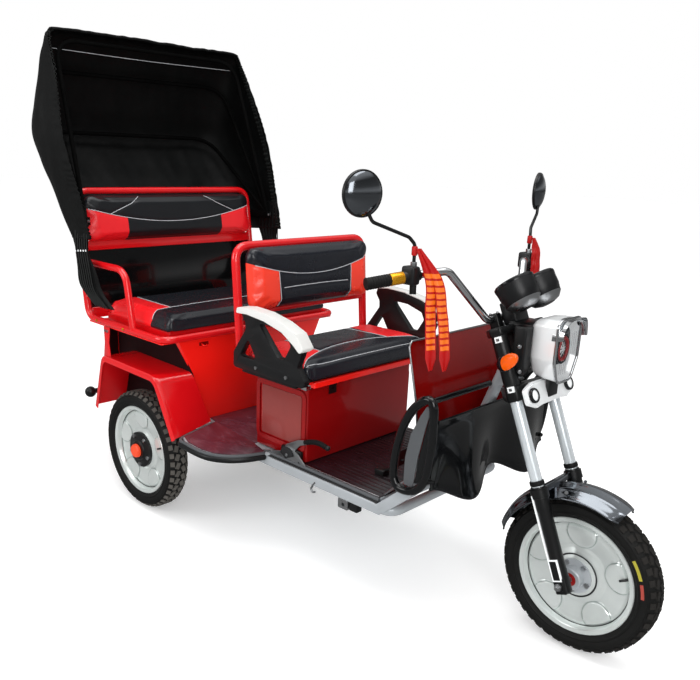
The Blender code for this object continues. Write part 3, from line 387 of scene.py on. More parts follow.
# Mirror, reflectors and dial: the brightest and the blackest small spots.
MIRROR_GLASS = Finish("silvered mirror glass", "chrome", "dfe3e6", 0.02, 6, 0, 0.01, metallic=1)
REFLECTOR = Finish("white reflector", "chrome", "eceff0", 0.2, 2, 0.2, 0.03, coat=0.5)
DIAL = Finish("dial face", "black_plastic", "1a1c20", 0.3, 2, 0.02, 0.06)
# Satin and foil: woven sheen in red, hot gold between.
SATIN_RIBBON = Woven("red satin ribbon", "red_paint", "ab0a09", 0.34, 1.6, 0.08, 0.12, specular=0.3)
GOLD_PRINT = Finish("gold foil band", "orange_lens", "e26a0e", 0.34, 1.6, 0.1, 0.15)
GOLD_RING = Brushed("gold anodised ring", "orange_lens", "d99a1c", 0.26, 1, 0.08, 0.08, metallic=0.8)
# Underside: rough casting, worked spring leaf and dull battery case, all close to black. The casting black also draws
# two dark rings in each wheel disc: painted shade in its grooves.
IRON_AND_GROOVE_SHADE = Finish("black axle casting and painted groove shade", "black_paint", "17181a", 0.55, 3, 0.3, 0.2)
SPRING_STEEL = Brushed("spring steel leaf", "black_paint", "2a2b2d", 0.45, 1.4, 0.15, 0.15, metallic=0.6)
BATTERY = Finish("battery case", "battery_case", "2b2c2e", 0.6, 2, 0.1, 0.06)


def rounded(points: Sequence, radius: float, steps: int = 8, share: float = 0.48, plain: bool = False) -> Row:
    """Path through the points with its corners rounded.

    Args:
        points: the corners.
        radius: radius of each bend, or its cut along both sides where plain.
        steps: segments in each bend.
        share: longest cut, as a share of the line beside it.
        plain: the radius is a cut.

    Returns:
        The finer path.
    """
    points = [Vector(p) for p in points]
    path = [points[0]]
    for before, corner, after in zip(points, points[1:], points[2:]):
        a = (before - corner).normalized()
        b = (after - corner).normalized()
        half = max(a.angle(b) / 2, 0.05)
        longest = share * min((before - corner).length, (after - corner).length)
        cut = min(radius if plain else radius / tan(half), longest)
        if cut < 1e-5:
            path.append(corner)
            continue
        path += [corner + a * cut * (1 - i / steps) ** 2 + b * cut * (i / steps) ** 2 for i in range(steps + 1)]
    return path + [points[-1]]


def spline(points: Sequence, steps: int = 8) -> list[Vector]:
    """Smooth curve through the points.

    Args:
        points: the points that it passes.
        steps: segments between two points.

    Returns:
        The finer path.
    """
    points = [Vector(p) for p in points]
    ends = [points[0] * 2 - points[1], *points, points[-1] * 2 - points[-2]]
    path = []
    for a, b, c, d in zip(ends, ends[1:], ends[2:], ends[3:]):
        for i in range(steps):
            t = i / steps
            path.append(0.5 * (2 * b + (c - a) * t + (2 * a - 5 * b + 4 * c - d) * t ** 2 + (3 * b - a - 3 * c + d)
                * t ** 3))
    path.append(points[-1])
    return path


def circle(radius: float, sides: int) -> list[tuple[float, float]]:
    """Round section for a sweep."""
    return [(radius * cos(2 * pi * i / sides), radius * sin(2 * pi * i / sides)) for i in range(sides)]


def smooth_outline(corners: Outline, radius: float, steps: int = 5) -> list[tuple[float, float]]:
    """Closed flat outline with rounded corners.

    Args:
        corners: the corners in order.
        radius: corner radius.
        steps: segments in each corner.

    Returns:
        The finer outline.
    """
    count = len(corners)
    loop: list[tuple[float, float]] = []
    for i in range(count):
        trio = [Vector((*corners[(i + k) % count], 0)) for k in (-1, 0, 1)]
        loop += [(p.x, p.y) for p in rounded(trio, radius, steps)[1:-1]]
    return loop


def rectangle(a: float, b: float, c: float, d: float, radius: float, steps: int) -> list[tuple[float, float]]:
    """Outline from (a, c) to (b, d) with rounded corners."""
    return smooth_outline([(a, c), (b, c), (b, d), (a, d)], radius, steps)


def both(half: Outline) -> list[tuple[float, float]]:
    """Outline from its right half, mirrored to the left."""
    return [*half, *[(x, -y) for x, y in reversed(half)]]


def across(half: Sequence[Triple]) -> list[Triple]:
    """Path from its right half, mirrored to the left."""
    return [*half, *[(x, -y, z) for x, y, z in reversed(half)]]


def near(middle: float, half: float) -> tuple[float, float]:
    """Low and high place round a middle."""
    return middle - half, middle + half


def span(side: int, a: float, b: float) -> list[float]:
    """Low and high place across, of a piece between a and b on one side."""
    return sorted((side * a, side * b))


class Piece:
    """One visible object, put together from shells that each have a finish."""

    def __init__(self, name: str, finish: Finish) -> None:
        """Start an empty piece.

        Args:
            name: the object's name.
            finish: finish of the shells that name no other.
        """
        self.name = name
        self.finishes: list[Finish] = [finish]
        self.bm = bmesh.new()

    def absorb(self, shell: bmesh.types.BMesh, finish: Finish | None = None, edge: float = 0.0, segments: int = 3,
            angle: float = 28.0) -> None:
        """Take in a shell, with its sharp edges rounded.

        Args:
            shell: the shell, which is used up.
            finish: its finish.
            edge: radius of its rounded edges.
            segments: segments of the rounding.
            angle: edges sharper than this many degrees are rounded.
        """
        finish = finish or self.finishes[0]
        if finish not in self.finishes:
            self.finishes.append(finish)
        bmesh.ops.recalc_face_normals(shell, faces=shell.faces)
        closed = all(len(e.link_faces) == 2 for e in shell.edges)
        if closed and shell.calc_volume(signed=True) < 0:
            bmesh.ops.reverse_faces(shell, faces=shell.faces)
        if edge:
            sharp = [e for e in shell.edges if len(e.link_faces) == 2 and e.calc_face_angle(0) > radians(angle)]
            bmesh.ops.bevel(shell, geom=sharp, offset=edge, segments=segments, profile=0.5, affect="EDGES",
                clamp_overlap=True)
        index = self.finishes.index(finish)
        for face in shell.faces:
            face.material_index = index
            face.smooth = True
        mesh = bpy.data.meshes.new("shell")
        shell.to_mesh(mesh)
        shell.free()
        self.bm.from_mesh(mesh)
        bpy.data.meshes.remove(mesh)

    def grid(self, rows: Sequence[Sequence], finish: Finish | None = None, wall: float = 0.0, wrap: bool = False,
            caps: bool = False, edge: float = 0.0, ring: bool = False) -> None:
        """Surface through rows of points.

        Args:
            rows: rows of the same number of points.
            finish: its finish.
            wall: thickness added on the back of an open surface.
            wrap: the last point of each row joins the first.
            caps: the first and last rows are closed with a face.
            edge: radius of rounded edges.
            ring: the last row joins the first.
        """
        bm = bmesh.new()
        net = [[bm.verts.new(p) for p in row] for row in rows]
        count = len(net[0])
        pairs = list(zip(net, net[1:])) + ([(net[-1], net[0])] if ring else [])
        for upper, lower in pairs:
            for i in range(count if wrap else count - 1):
                j = (i + 1) % count
                bm.faces.new((upper[i], upper[j], lower[j], lower[i]))
        if caps:
            bm.faces.new(net[0])
            bm.faces.new(list(reversed(net[-1])))
        if wall:
            bm.normal_update()
            back = {v: bm.verts.new(v.co - v.normal * wall) for v in list(bm.verts)}
            faces = list(bm.faces)
            rim = [e for e in bm.edges if len(e.link_faces) == 1]
            for face in faces:
                bm.faces.new([back[v] for v in reversed(face.verts)])
            for e in rim:
                a, b = e.verts
                bm.faces.new((a, b, back[b], back[a]))
        self.absorb(bm, finish, edge)

    def sweep(self, path: Sequence, section: Outline, finish: Finish | None = None, up: Triple = (0.0, 0.0, 1.0),
            closed: bool = False) -> None:
        """Section carried along a path without twisting.

        Args:
            path: the points that it follows.
            section: points of the section, sideways and up.
            finish: its finish.
            up: direction that starts as the section's up.
            closed: the path is a loop.
        """
        path = [Vector(p) for p in path]
        count = len(path)
        rows = []
        high = Vector(up)
        for i, point in enumerate(path):
            after = path[(i + 1) % count] if closed or i < count - 1 else point
            before = path[i - 1] if closed or i else point
            along = (after - before).normalized()
            side = along.cross(high)
            if side.length < 1e-4:
                side = along.orthogonal()
            side.normalize()
            high = side.cross(along).normalized()
            rows.append([point + side * u + high * v for u, v in section])
        self.grid(rows, finish, wrap=True, caps=not closed, ring=closed)

    def tube(self, points: Sequence, radius: float, finish: Finish | None = None, bend: float = 0.0, sides: int = 20,
            closed: bool = False, up: Triple = (0, 0, 1)) -> None:
        """Round tube along a path."""
        path = rounded(points, bend) if bend else points
        self.sweep(path, circle(radius, sides), finish, up, closed)

    def rod(self, start: Sequence, end: Sequence, radius: float, finish: Finish | None = None, sides: int = 32,
            edge: float = 0.0) -> None:
        """Round bar between two points.

        Args:
            start: centre of one end.
            end: centre of the other end.
            radius: its radius.
            finish: its finish.
            sides: sides of its section.
            edge: radius of its rounded rims.
        """
        start = Vector(start)
        axis = Vector(end) - start
        bm = bmesh.new()
        bmesh.ops.create_cone(bm, cap_ends=True, segments=sides, radius1=radius, radius2=radius, depth=axis.length)
        turn = axis.to_track_quat("Z", "Y").to_matrix().to_4x4()
        bmesh.ops.transform(bm, matrix=Matrix.Translation(start + axis / 2) @ turn, verts=bm.verts)
        self.absorb(bm, finish, edge, angle=60)

    def ball(self, centre: Sequence, radii: Triple, finish: Finish | None = None, segments: int = 32,
            turn: Matrix | None = None) -> None:
        """Ellipsoid.

        Args:
            centre: its middle.
            radii: its half sizes.
            finish: its finish.
            segments: sides round it.
            turn: its rotation.
        """
        bm = bmesh.new()
        bmesh.ops.create_uvsphere(bm, u_segments=segments, v_segments=segments // 2, radius=1)
        matrix = Matrix.Translation(Vector(centre)) @ (turn or Matrix()).to_4x4() @ Matrix.Diagonal((*radii, 1))
        bmesh.ops.transform(bm, matrix=matrix, verts=bm.verts)
        self.absorb(bm, finish)

    def lathe(self, profile: Outline, centre: Sequence, direction: Sequence, finish: Finish | None = None,
            steps: int = 64) -> None:
        """Profile of radius and height turned about a direction.

        Args:
            profile: the profile's points; a radius of 0 closes an end.
            centre: point of height 0.
            direction: the axis.
            finish: its finish.
            steps: sides round it.
        """
        turn = Matrix.Translation(Vector(centre)) @ Vector(direction).to_track_quat("Z", "Y").to_matrix().to_4x4()
        bm = bmesh.new()
        columns = []
        for i in range(steps):
            a = 2 * pi * i / steps
            columns.append([bm.verts.new(turn @ Vector((r * cos(a), r * sin(a), h))) for r, h in profile])
        closed = profile[0][0] > 0 and profile[-1][0] > 0
        spans = len(profile) if closed else len(profile) - 1
        for i in range(steps):
            here = columns[i]
            there = columns[(i + 1) % steps]
            for k in range(spans):
                m = (k + 1) % len(profile)
                bm.faces.new((here[k], there[k], there[m], here[m]))
        bmesh.ops.remove_doubles(bm, verts=bm.verts, dist=0.000002)
        self.absorb(bm, finish)

    def block(self, x: Sequence[float], y: Sequence[float], z: Sequence[float], finish: Finish | None = None,
            edge: float = 0.002, matrix: Matrix | None = None, segments: int = 3) -> None:
        """Box with rounded edges.

        Args:
            x: low and high x.
            y: low and high y.
            z: low and high z.
            finish: its finish.
            edge: radius of its edges.
            matrix: its placing.
            segments: segments of the rounding.
        """
        bm = bmesh.new()
        bmesh.ops.create_cube(bm, size=1)
        size = Matrix.Diagonal((x[1] - x[0], y[1] - y[0], z[1] - z[0], 1))
        middle = Matrix.Translation(((x[0] + x[1]) / 2, (y[0] + y[1]) / 2, (z[0] + z[1]) / 2))
        bmesh.ops.transform(bm, matrix=(matrix or Matrix()) @ middle @ size, verts=bm.verts)
        self.absorb(bm, finish, edge, segments)

    def steer_block(self, s: Sequence[float], f: Sequence[float], y: Sequence[float], finish: Finish | None = None,
            edge: float = 0.002) -> None:
        """Box in steering axes.

        Args:
            s: low and high place up the axis.
            f: low and high place in front of it.
            y: low and high y.
            finish: its finish.
            edge: radius of its edges.
        """
        self.block(f, y, s, finish, edge, STEER_TURN)

    def plate(self, outline: Outline, low: float, high: float, axis: str = "y", finish: Finish | None = None,
            edge: float = 0.0, holes: Sequence = (), segments: int = 2) -> None:
        """Flat outline given a thickness.

        Args:
            outline: its outer outline, in the two axes that are left.
            low: low place on the axis.
            high: high place on the axis.
            axis: the axis that it is thick along.
            finish: its finish.
            edge: radius of its rims.
            holes: outlines of holes.
            segments: segments of the rounding.
        """
        curve = bpy.data.curves.new(self.name, "CURVE")
        curve.dimensions = "2D"
        curve.fill_mode = "BOTH"
        curve.extrude = (high - low) / 2
        for loop in (outline, *holes):
            line = curve.splines.new("POLY")
            line.points.add(len(loop) - 1)
            for point, (u, v) in zip(line.points, loop):
                point.co = (u, v, 0, 1)
            line.use_cyclic_u = True
        draft = bpy.data.objects.new(self.name, curve)
        mesh = bpy.data.meshes.new_from_object(draft)
        bpy.data.objects.remove(draft)
        bpy.data.curves.remove(curve)
        bm = bmesh.new()
        bm.from_mesh(mesh)
        bpy.data.meshes.remove(mesh)
        bmesh.ops.remove_doubles(bm, verts=bm.verts, dist=0.00002)
        bmesh.ops.dissolve_limit(bm, angle_limit=0.01, verts=bm.verts, edges=bm.edges)
        middle = (low + high) / 2
        for vert in bm.verts:
            u, v, w = vert.co
            vert.co = {"x": (w + middle, u, v), "y": (u, w + middle, v), "z": (u, v, w + middle)}[axis]
        self.absorb(bm, finish, edge, segments)

    def done(self, body: str, *replaced: str, sharp: float = 38.0) -> bpy.types.Object:
        """Finish the object and hang it on its body.

        Args:
            body: the CAD body that it rides on.
            replaced: CAD nodes that it stands for.
            sharp: edges over this angle stay sharp, in degrees.

        Returns:
            The finished object.
        """
        mesh = bpy.data.meshes.new(self.name)
        self.bm.to_mesh(mesh)
        self.bm.free()
        return settle(self.name, mesh, self.finishes, body, replaced, sharp)


def settle(name: str, mesh: bpy.types.Mesh, finishes: Sequence[Finish], body: str, replaced: Sequence[str] = (),
        sharp: float = 38.0) -> bpy.types.Object:
    """Link a finished mesh, move it to world axes and hang it on its body.

    Args:
        name: the object's name.
        mesh: its mesh.
        finishes: finishes by material number.
        body: the CAD body that it rides on.
        replaced: CAD nodes that it stands for.
        sharp: edges over this angle stay sharp, in degrees.

    Returns:
        The finished object.
    """
    mesh.transform(Matrix.Translation((REAR_AXLE_X, 0, 0)))
    for finish in finishes:
        mesh.materials.append(finish.material())
    mesh.shade_smooth()
    mesh.set_sharp_from_angle(angle=radians(sharp))
    obj = bpy.data.objects.new(name, mesh)
    bpy.context.scene.collection.objects.link(obj)
    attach(obj, body)
    if replaced:
        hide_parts(*replaced)
    LOG.info("%s: %d faces on %s", name, len(mesh.polygons), body)
    return obj


class Stamp(Enum):
    """Small shapes that Geometry Nodes repeat over points."""
    HEX_BOLT = "hex bolt"
    RIVET = "rivet"
    BLOCK = "block"


@dataclass(frozen=True)
class Spot:
    """One place of a stamp: where it is, which way it faces and which way it lies."""
    at: Sequence
    facing: Sequence
    along: Sequence = (1, 0, 0)


def stamp(name: str, kind: Stamp, spots: Sequence[Spot], size: Triple, finish: Finish, body: str,
        sharp: float = 38.0) -> bpy.types.Object:
    """Repeat a small shape over spots with Geometry Nodes and make the result a plain mesh.

    Args:
        name: the object's name.
        kind: the shape.
        spots: the places, in vehicle axes.
        size: length along, width across and height of the shape.
        finish: its finish.
        body: the CAD body that it rides on.
        sharp: edges over this angle stay sharp, in degrees.

    Returns:
        The finished object.
    """
    points = bpy.data.meshes.new(name + "_points")
    points.from_pydata([s.at for s in spots], [], [])
    for key in ("facing", "along"):
        layer = points.attributes.new(key, "FLOAT_VECTOR", "POINT")
        layer.data.foreach_set("vector", [c for s in spots for c in getattr(s, key)])
    tree = bpy.data.node_groups.new(name + "_nodes", "GeometryNodeTree")
    tree.interface.new_socket("Geometry", in_out="INPUT", socket_type="NodeSocketGeometry")
    names = ("Length", "Width", "Height")
    sockets = {key: tree.interface.new_socket(key, in_out="INPUT", socket_type="NodeSocketFloat") for key in names}
    tree.interface.new_socket("Geometry", in_out="OUTPUT", socket_type="NodeSocketGeometry")
    source = add(tree, "NodeGroupInput").outputs
    if kind is Stamp.HEX_BOLT:
        shape = add(tree, "GeometryNodeMeshCylinder", {"Vertices": 6, "Radius": 0.5, "Depth": 1}).outputs["Mesh"]
    elif kind is Stamp.BLOCK:
        shape = add(tree, "GeometryNodeMeshCube").outputs["Mesh"]
    else:
        shape = add(tree, "GeometryNodeMeshUVSphere", {"Segments": 10, "Rings": 6, "Radius": 0.5}).outputs["Mesh"]
    facing = add(tree, "GeometryNodeInputNamedAttribute", {"Name": "facing"}, data_type="FLOAT_VECTOR").outputs[0]
    along = add(tree, "GeometryNodeInputNamedAttribute", {"Name": "along"}, data_type="FLOAT_VECTOR").outputs[0]
    first = add(tree, "FunctionNodeAlignRotationToVector", {"Vector": facing}, axis="Z").outputs[0]
    turned = add(tree, "FunctionNodeAlignRotationToVector", {"Rotation": first, "Vector": along}, axis="X",
        pivot_axis="Z").outputs[0]
    scale = add(tree, "ShaderNodeCombineXYZ", {0: source["Length"], 1: source["Width"], 2: source["Height"]})
    placed = add(tree, "GeometryNodeInstanceOnPoints", {"Points": source["Geometry"], "Instance": shape,
        "Rotation": turned, "Scale": scale.outputs[0]})
    real = add(tree, "GeometryNodeRealizeInstances", {0: placed.outputs[0]})
    painted = add(tree, "GeometryNodeSetMaterial", {"Geometry": real.outputs[0], "Material": finish.material()})
    add(tree, "NodeGroupOutput", {0: painted.outputs[0]})
    carrier = bpy.data.objects.new(name + "_carrier", points)
    bpy.context.scene.collection.objects.link(carrier)
    modifier = carrier.modifiers.new("Stamp", "NODES")
    modifier.node_group = tree
    for key, value in zip(names, size):
        modifier[sockets[key].identifier] = value
    graph = bpy.context.evaluated_depsgraph_get()
    mesh = bpy.data.meshes.new_from_object(carrier.evaluated_get(graph), preserve_all_data_layers=False,
        depsgraph=graph)
    carrier.modifiers.remove(modifier)
    bpy.data.objects.remove(carrier)
    mesh.name = name
    return settle(name, mesh, [finish], body, sharp=sharp)


@dataclass
class Pad:
    """A sewn, padded piece: an outline blown up by a cloth simulation, with its seams laid on it.

    Its own axes are v (forward on a seat, down on a back), u (to the left) and w (out of its back
    or bottom face).

    Attributes:
        name: the object's name.
        node: the CAD node that it stands for.
        body: the CAD body that it rides on.
        finish: its vinyl.
        centre: middle of its back or bottom face.
        lean: angle of a back, or nothing for a seat.
        half_v: half its size along v.
        half_u: half its size along u.
        thick: its thickness before it swells.
        corner: radius of its corners.
        edge: radius of its front edges.
        seams: cords over its face, each as (v, u) points.
        fill: how tight it is stuffed; not used.
        droop: how far its front edge is pressed down.
        tuck: how far its front lip reaches below its bottom face.
        skirted: whether its sides reach down too.
    """
    name: str
    node: str
    body: str
    finish: Hide
    centre: Triple
    lean: float | None
    half_v: float
    half_u: float
    thick: float
    corner: float
    edge: float
    seams: list[list[tuple[float, float]]] = field(default_factory=list)
    fill: float = 0.75
    droop: float = 0.0
    tuck: float = 0.0
    skirted: bool = False
    draft: bpy.types.Object | None = None

    def placing(self) -> Matrix:
        """Matrix from the pad's own axes to vehicle axes."""
        if self.lean is None:
            turn = Matrix.Identity(3)
        else:
            c, s = cos(self.lean), sin(self.lean)
            turn = Matrix(((s, 0, c), (0, 1, 0), (-c, 0, s)))
        return Matrix.Translation(self.centre) @ turn.to_4x4()

    def start(self) -> bpy.types.Object:
        """Make the remeshed shape before it swells, in the pad's own axes.

        Returns:
            The draft object.
        """
        piece = Piece(self.name, self.finish)
        v, u = self.half_v, self.half_u
        outline = rectangle(-v, v, -u, u, self.corner, 8)
        piece.plate(outline, 0, self.thick, "z", edge=self.edge, segments=5)
        mesh = bpy.data.meshes.new(self.name + "_draft")
        piece.bm.to_mesh(mesh)
        piece.bm.free()
        draft = bpy.data.objects.new(self.name + "_draft", mesh)
        bpy.context.scene.collection.objects.link(draft)
        remesh = draft.modifiers.new("Remesh", "REMESH")
        remesh.mode = "VOXEL"
        remesh.voxel_size = 0.0055
        finer = bpy.data.meshes.new_from_object(draft.evaluated_get(bpy.context.evaluated_depsgraph_get()))
        draft.modifiers.remove(remesh)
        draft.data = finer
        self.draft = draft
        return draft

    def sew(self, swell: float) -> bpy.types.Object:
        """Press the seams in, lay their cords, and finish the pad.

        Args:
            swell: how far a point may have moved in the simulation.

        Returns:
            The finished pad.
        """
        mesh = self.draft.data
        bpy.data.objects.remove(self.draft)
        lines = [[Vector(p) for p in dense(line, 0.006)] for line in self.seams]
        for vert in mesh.vertices:
            x, y, w = vert.co
            front = max(0, x / self.half_v)
            reach = x - self.half_v
            if self.skirted:
                reach = max(reach, abs(y) - self.half_u + 0.006)
            lip = min(1, max(0, (reach + 0.012) / 0.01))
            vert.co.z -= self.droop * front ** 3 * min(1, w / self.thick) + self.tuck * lip
            if w < self.thick * 0.55:
                continue
            flat = Vector((x, y))
            near = min((min((flat - p).length for p in line) for line in lines), default=1)
            vert.co.z -= 0.0036 * exp(-(near / 0.006) ** 2)
            wrinkle = noise.noise(Vector((x * 9, y * 5, 3))) + 0.5 * noise.noise(Vector((x * 24, y * 13, 1)))
            vert.co.z += 0.001 * wrinkle
        bm = bmesh.new()
        bm.from_mesh(mesh)
        for _ in range(2):
            bmesh.ops.smooth_vert(bm, verts=bm.verts, factor=0.4, use_axis_x=True, use_axis_y=True, use_axis_z=True)
        surface = BVHTree.FromBMesh(bm)
        bm.to_mesh(mesh)
        bm.free()
        place = self.placing()
        cords = Piece(self.name + "_cords", THREAD)
        for line in lines:
            path = []
            for p in line:
                hit = surface.ray_cast(Vector((p.x, p.y, 0.3)), Vector((0, 0, -1)))[0]
                if hit:
                    path.append(place @ (hit + Vector((0, 0, 0.0006))))
            if len(path) > 3:
                cords.sweep(path, circle(0.0013, 6), up=(place.to_3x3() @ Vector((0, 0, 1))))
        mesh.transform(place)
        pad = settle(self.name, mesh, [self.finish], self.body, [self.node], sharp=80)
        finer = pad.modifiers.new("Subdivision", "SUBSURF")
        finer.levels = 1
        finer.render_levels = 1
        if lines:
            cords.done(self.body)
        LOG.info("%s swelled at most %.1f mm", self.name, swell * 1000)
        return pad


def dense(line: Outline, step: float) -> list[tuple[float, float]]:
    """Flat line with points at even steps.

    Args:
        line: its corners.
        step: distance between two points.

    Returns:
        The points.
    """
    found = []
    for a, b in zip(line, line[1:]):
        a, b = Vector(a), Vector(b)
        count = max(1, round((b - a).length / step))
        found += [tuple(a.lerp(b, i / count)) for i in range(count)]
    found.append(tuple(line[-1]))
    return found


def inflate(pads: Sequence[Pad], limit: float) -> None:
    """Swell the drafts together with Blender's Cloth, and apply the result.

    Args:
        pads: the pads.
        limit: farthest that a point may move.
    """
    scene = bpy.context.scene
    rest = {}
    for pad in pads:
        obj = pad.draft
        rest[pad.name] = [v.co.copy() for v in obj.data.vertices]
        fixed = obj.vertex_groups.new(name="fixed")
        fixed.add([v.index for v in obj.data.vertices if v.co.z < pad.thick * 0.3], 1, "REPLACE")
        cloth = obj.modifiers.new("Cloth", "CLOTH")
        cloth.settings.quality = 4
        cloth.settings.use_pressure = True
        cloth.settings.uniform_pressure_force = 4
        cloth.settings.effector_weights.gravity = 0
        cloth.settings.vertex_group_mass = "fixed"
        cloth.settings.tension_stiffness = 18
        cloth.settings.compression_stiffness = 12
        cloth.settings.bending_stiffness = 0.4
        cloth.collision_settings.use_self_collision = False
    for step in range(1, 17):
        scene.frame_set(step)
    graph = bpy.context.evaluated_depsgraph_get()
    for pad in pads:
        obj = pad.draft
        swollen = obj.evaluated_get(graph).to_mesh()
        moved = [v.co.copy() for v in swollen.vertices]
        obj.evaluated_get(graph).to_mesh_clear()
        obj.modifiers.remove(obj.modifiers["Cloth"])
        for vert, before, after in zip(obj.data.vertices, rest[pad.name], moved):
            step = after - before
            if step.length > limit:
                step *= limit / step.length
            vert.co = before + step
    scene.frame_set(1)


@dataclass
class SeatPads:
    """The four cushions."""
    front_lean: float = atan2(0.446 - 0.412, 1.012 - 0.622)
    rear_lean: float = atan2(0.4 - 0.335, 1.14 - 0.6727)
    swell: float = 0.009

    def face(self, lean: float, foot: tuple[float, float], middle: float, depth: float, thick: float) -> tuple[Triple,
            Callable[[float], float]]:
        """Where a back pad lies on its leaning frame.

        Args:
            lean: angle of the frame.
            foot: x and z at the foot of the frame.
            middle: height of the pad's middle.
            depth: distance of the pad's rear face in front of the frame.
            thick: its thickness.

        Returns:
            Middle of the rear face, and the place down the pad of a height on its front face.
        """
        c, s = cos(lean), sin(lean)
        centre = (foot[0] - (middle - foot[1]) * tan(lean) + depth * c, 0, middle + depth * s)
        return centre, lambda z: (centre[2] + thick * s - z) / c

    def front_back(self) -> Pad:
        """Driver's back pad, with an arc seam, a cross seam and two side panels."""
        thick = 0.044
        centre, down = self.face(self.front_lean, (0.446, 0.622), 0.906, 0.0132, thick)
        us = [-0.262 + 0.524 * i / 24 for i in range(25)]
        seams = [[(down(0.915 + 0.6 * u * u), u) for u in us],
            [(down(0.879 - 0.1 * u * u), u) for u in us if abs(u) < 0.172]]
        for side in (-1, 1):
            seams.append([(down(0.915 + 0.6 * 0.172 ** 2), 0.172 * side), (0.094, 0.166 * side)])
        return Pad("back_pad_front", "seatback_front", "front_seat", FRONT_BACK_VINYL, centre, self.front_lean, 0.103,
            0.28, thick, 0.042, 0.016, seams)

    def rear_back(self) -> Pad:
        """Passengers' back pad inside its frame."""
        thick = 0.052
        centre, down = self.face(self.rear_lean, (-0.335, TUBE_Z), 1.0375, -0.0115, thick)
        us = [-0.385 + 0.77 * i / 30 for i in range(31)]
        seams = [[(down(1.022 + 0.37 * u * u), u) for u in us]]
        for side in (-1, 1):
            seams.append([(down(1.12), 0.16 * side), (down(1.093), 0.205 * side), (down(1.0555), 0.3 * side)])
        return Pad("back_pad_rear", "seatback_rear", "chassis", REAR_BACK_VINYL, centre, self.rear_lean, 0.0885, 0.3985,
            thick, 0.046, 0.016, seams, 0.6)

    def front_seat(self) -> Pad:
        """Driver's cushion with an arc seam and two red rear corners."""
        centre = (0.6135, 0, 0.6523)
        us = [-0.29 + 0.58 * i / 26 for i in range(27)]
        seams = [[(0.648 + u * u - centre[0], u) for u in us], [(0.742 - centre[0], u) for u in us]]
        for side in (-1, 1):
            seams.append([(-0.136, 0.15 * side), (0.648 + 0.165 ** 2 - centre[0], 0.165 * side)])
        return Pad("cushion_pad_front", "cushion_front", "front_seat", FRONT_SEAT_VINYL, centre, None, 0.148, 0.301,
            0.043, 0.028, 0.015, seams, droop=0.01, tuck=0.016)

    def rear_seat(self) -> Pad:
        """Passengers' cushion with a wide arc seam and red rear corners."""
        centre = (-0.0415, 0, 0.7003)
        us = [-0.375 + 0.75 * i / 30 for i in range(31)]
        seams = [[(0.006 + 0.25 * u * u - centre[0], u) for u in us]]
        for side in (-1, 1):
            seams.append([(-0.188, 0.275 * side), (0.006 + 0.25 * 0.285 ** 2 - centre[0], 0.285 * side)])
        return Pad("cushion_pad_rear", "cushion_rear", "rear_seat_lid", REAR_SEAT_VINYL, centre, None, 0.203, 0.385,
            0.045, 0.03, 0.015, seams, 0.8, droop=0.004, tuck=0.012, skirted=True)

    def build(self) -> None:
        """Make all four pads in one simulation."""
        pads = [self.front_back(), self.rear_back(), self.front_seat(), self.rear_seat()]
        for pad in pads:
            pad.start()
        inflate(pads, self.swell)
        for pad in pads:
            pad.sew(self.swell)


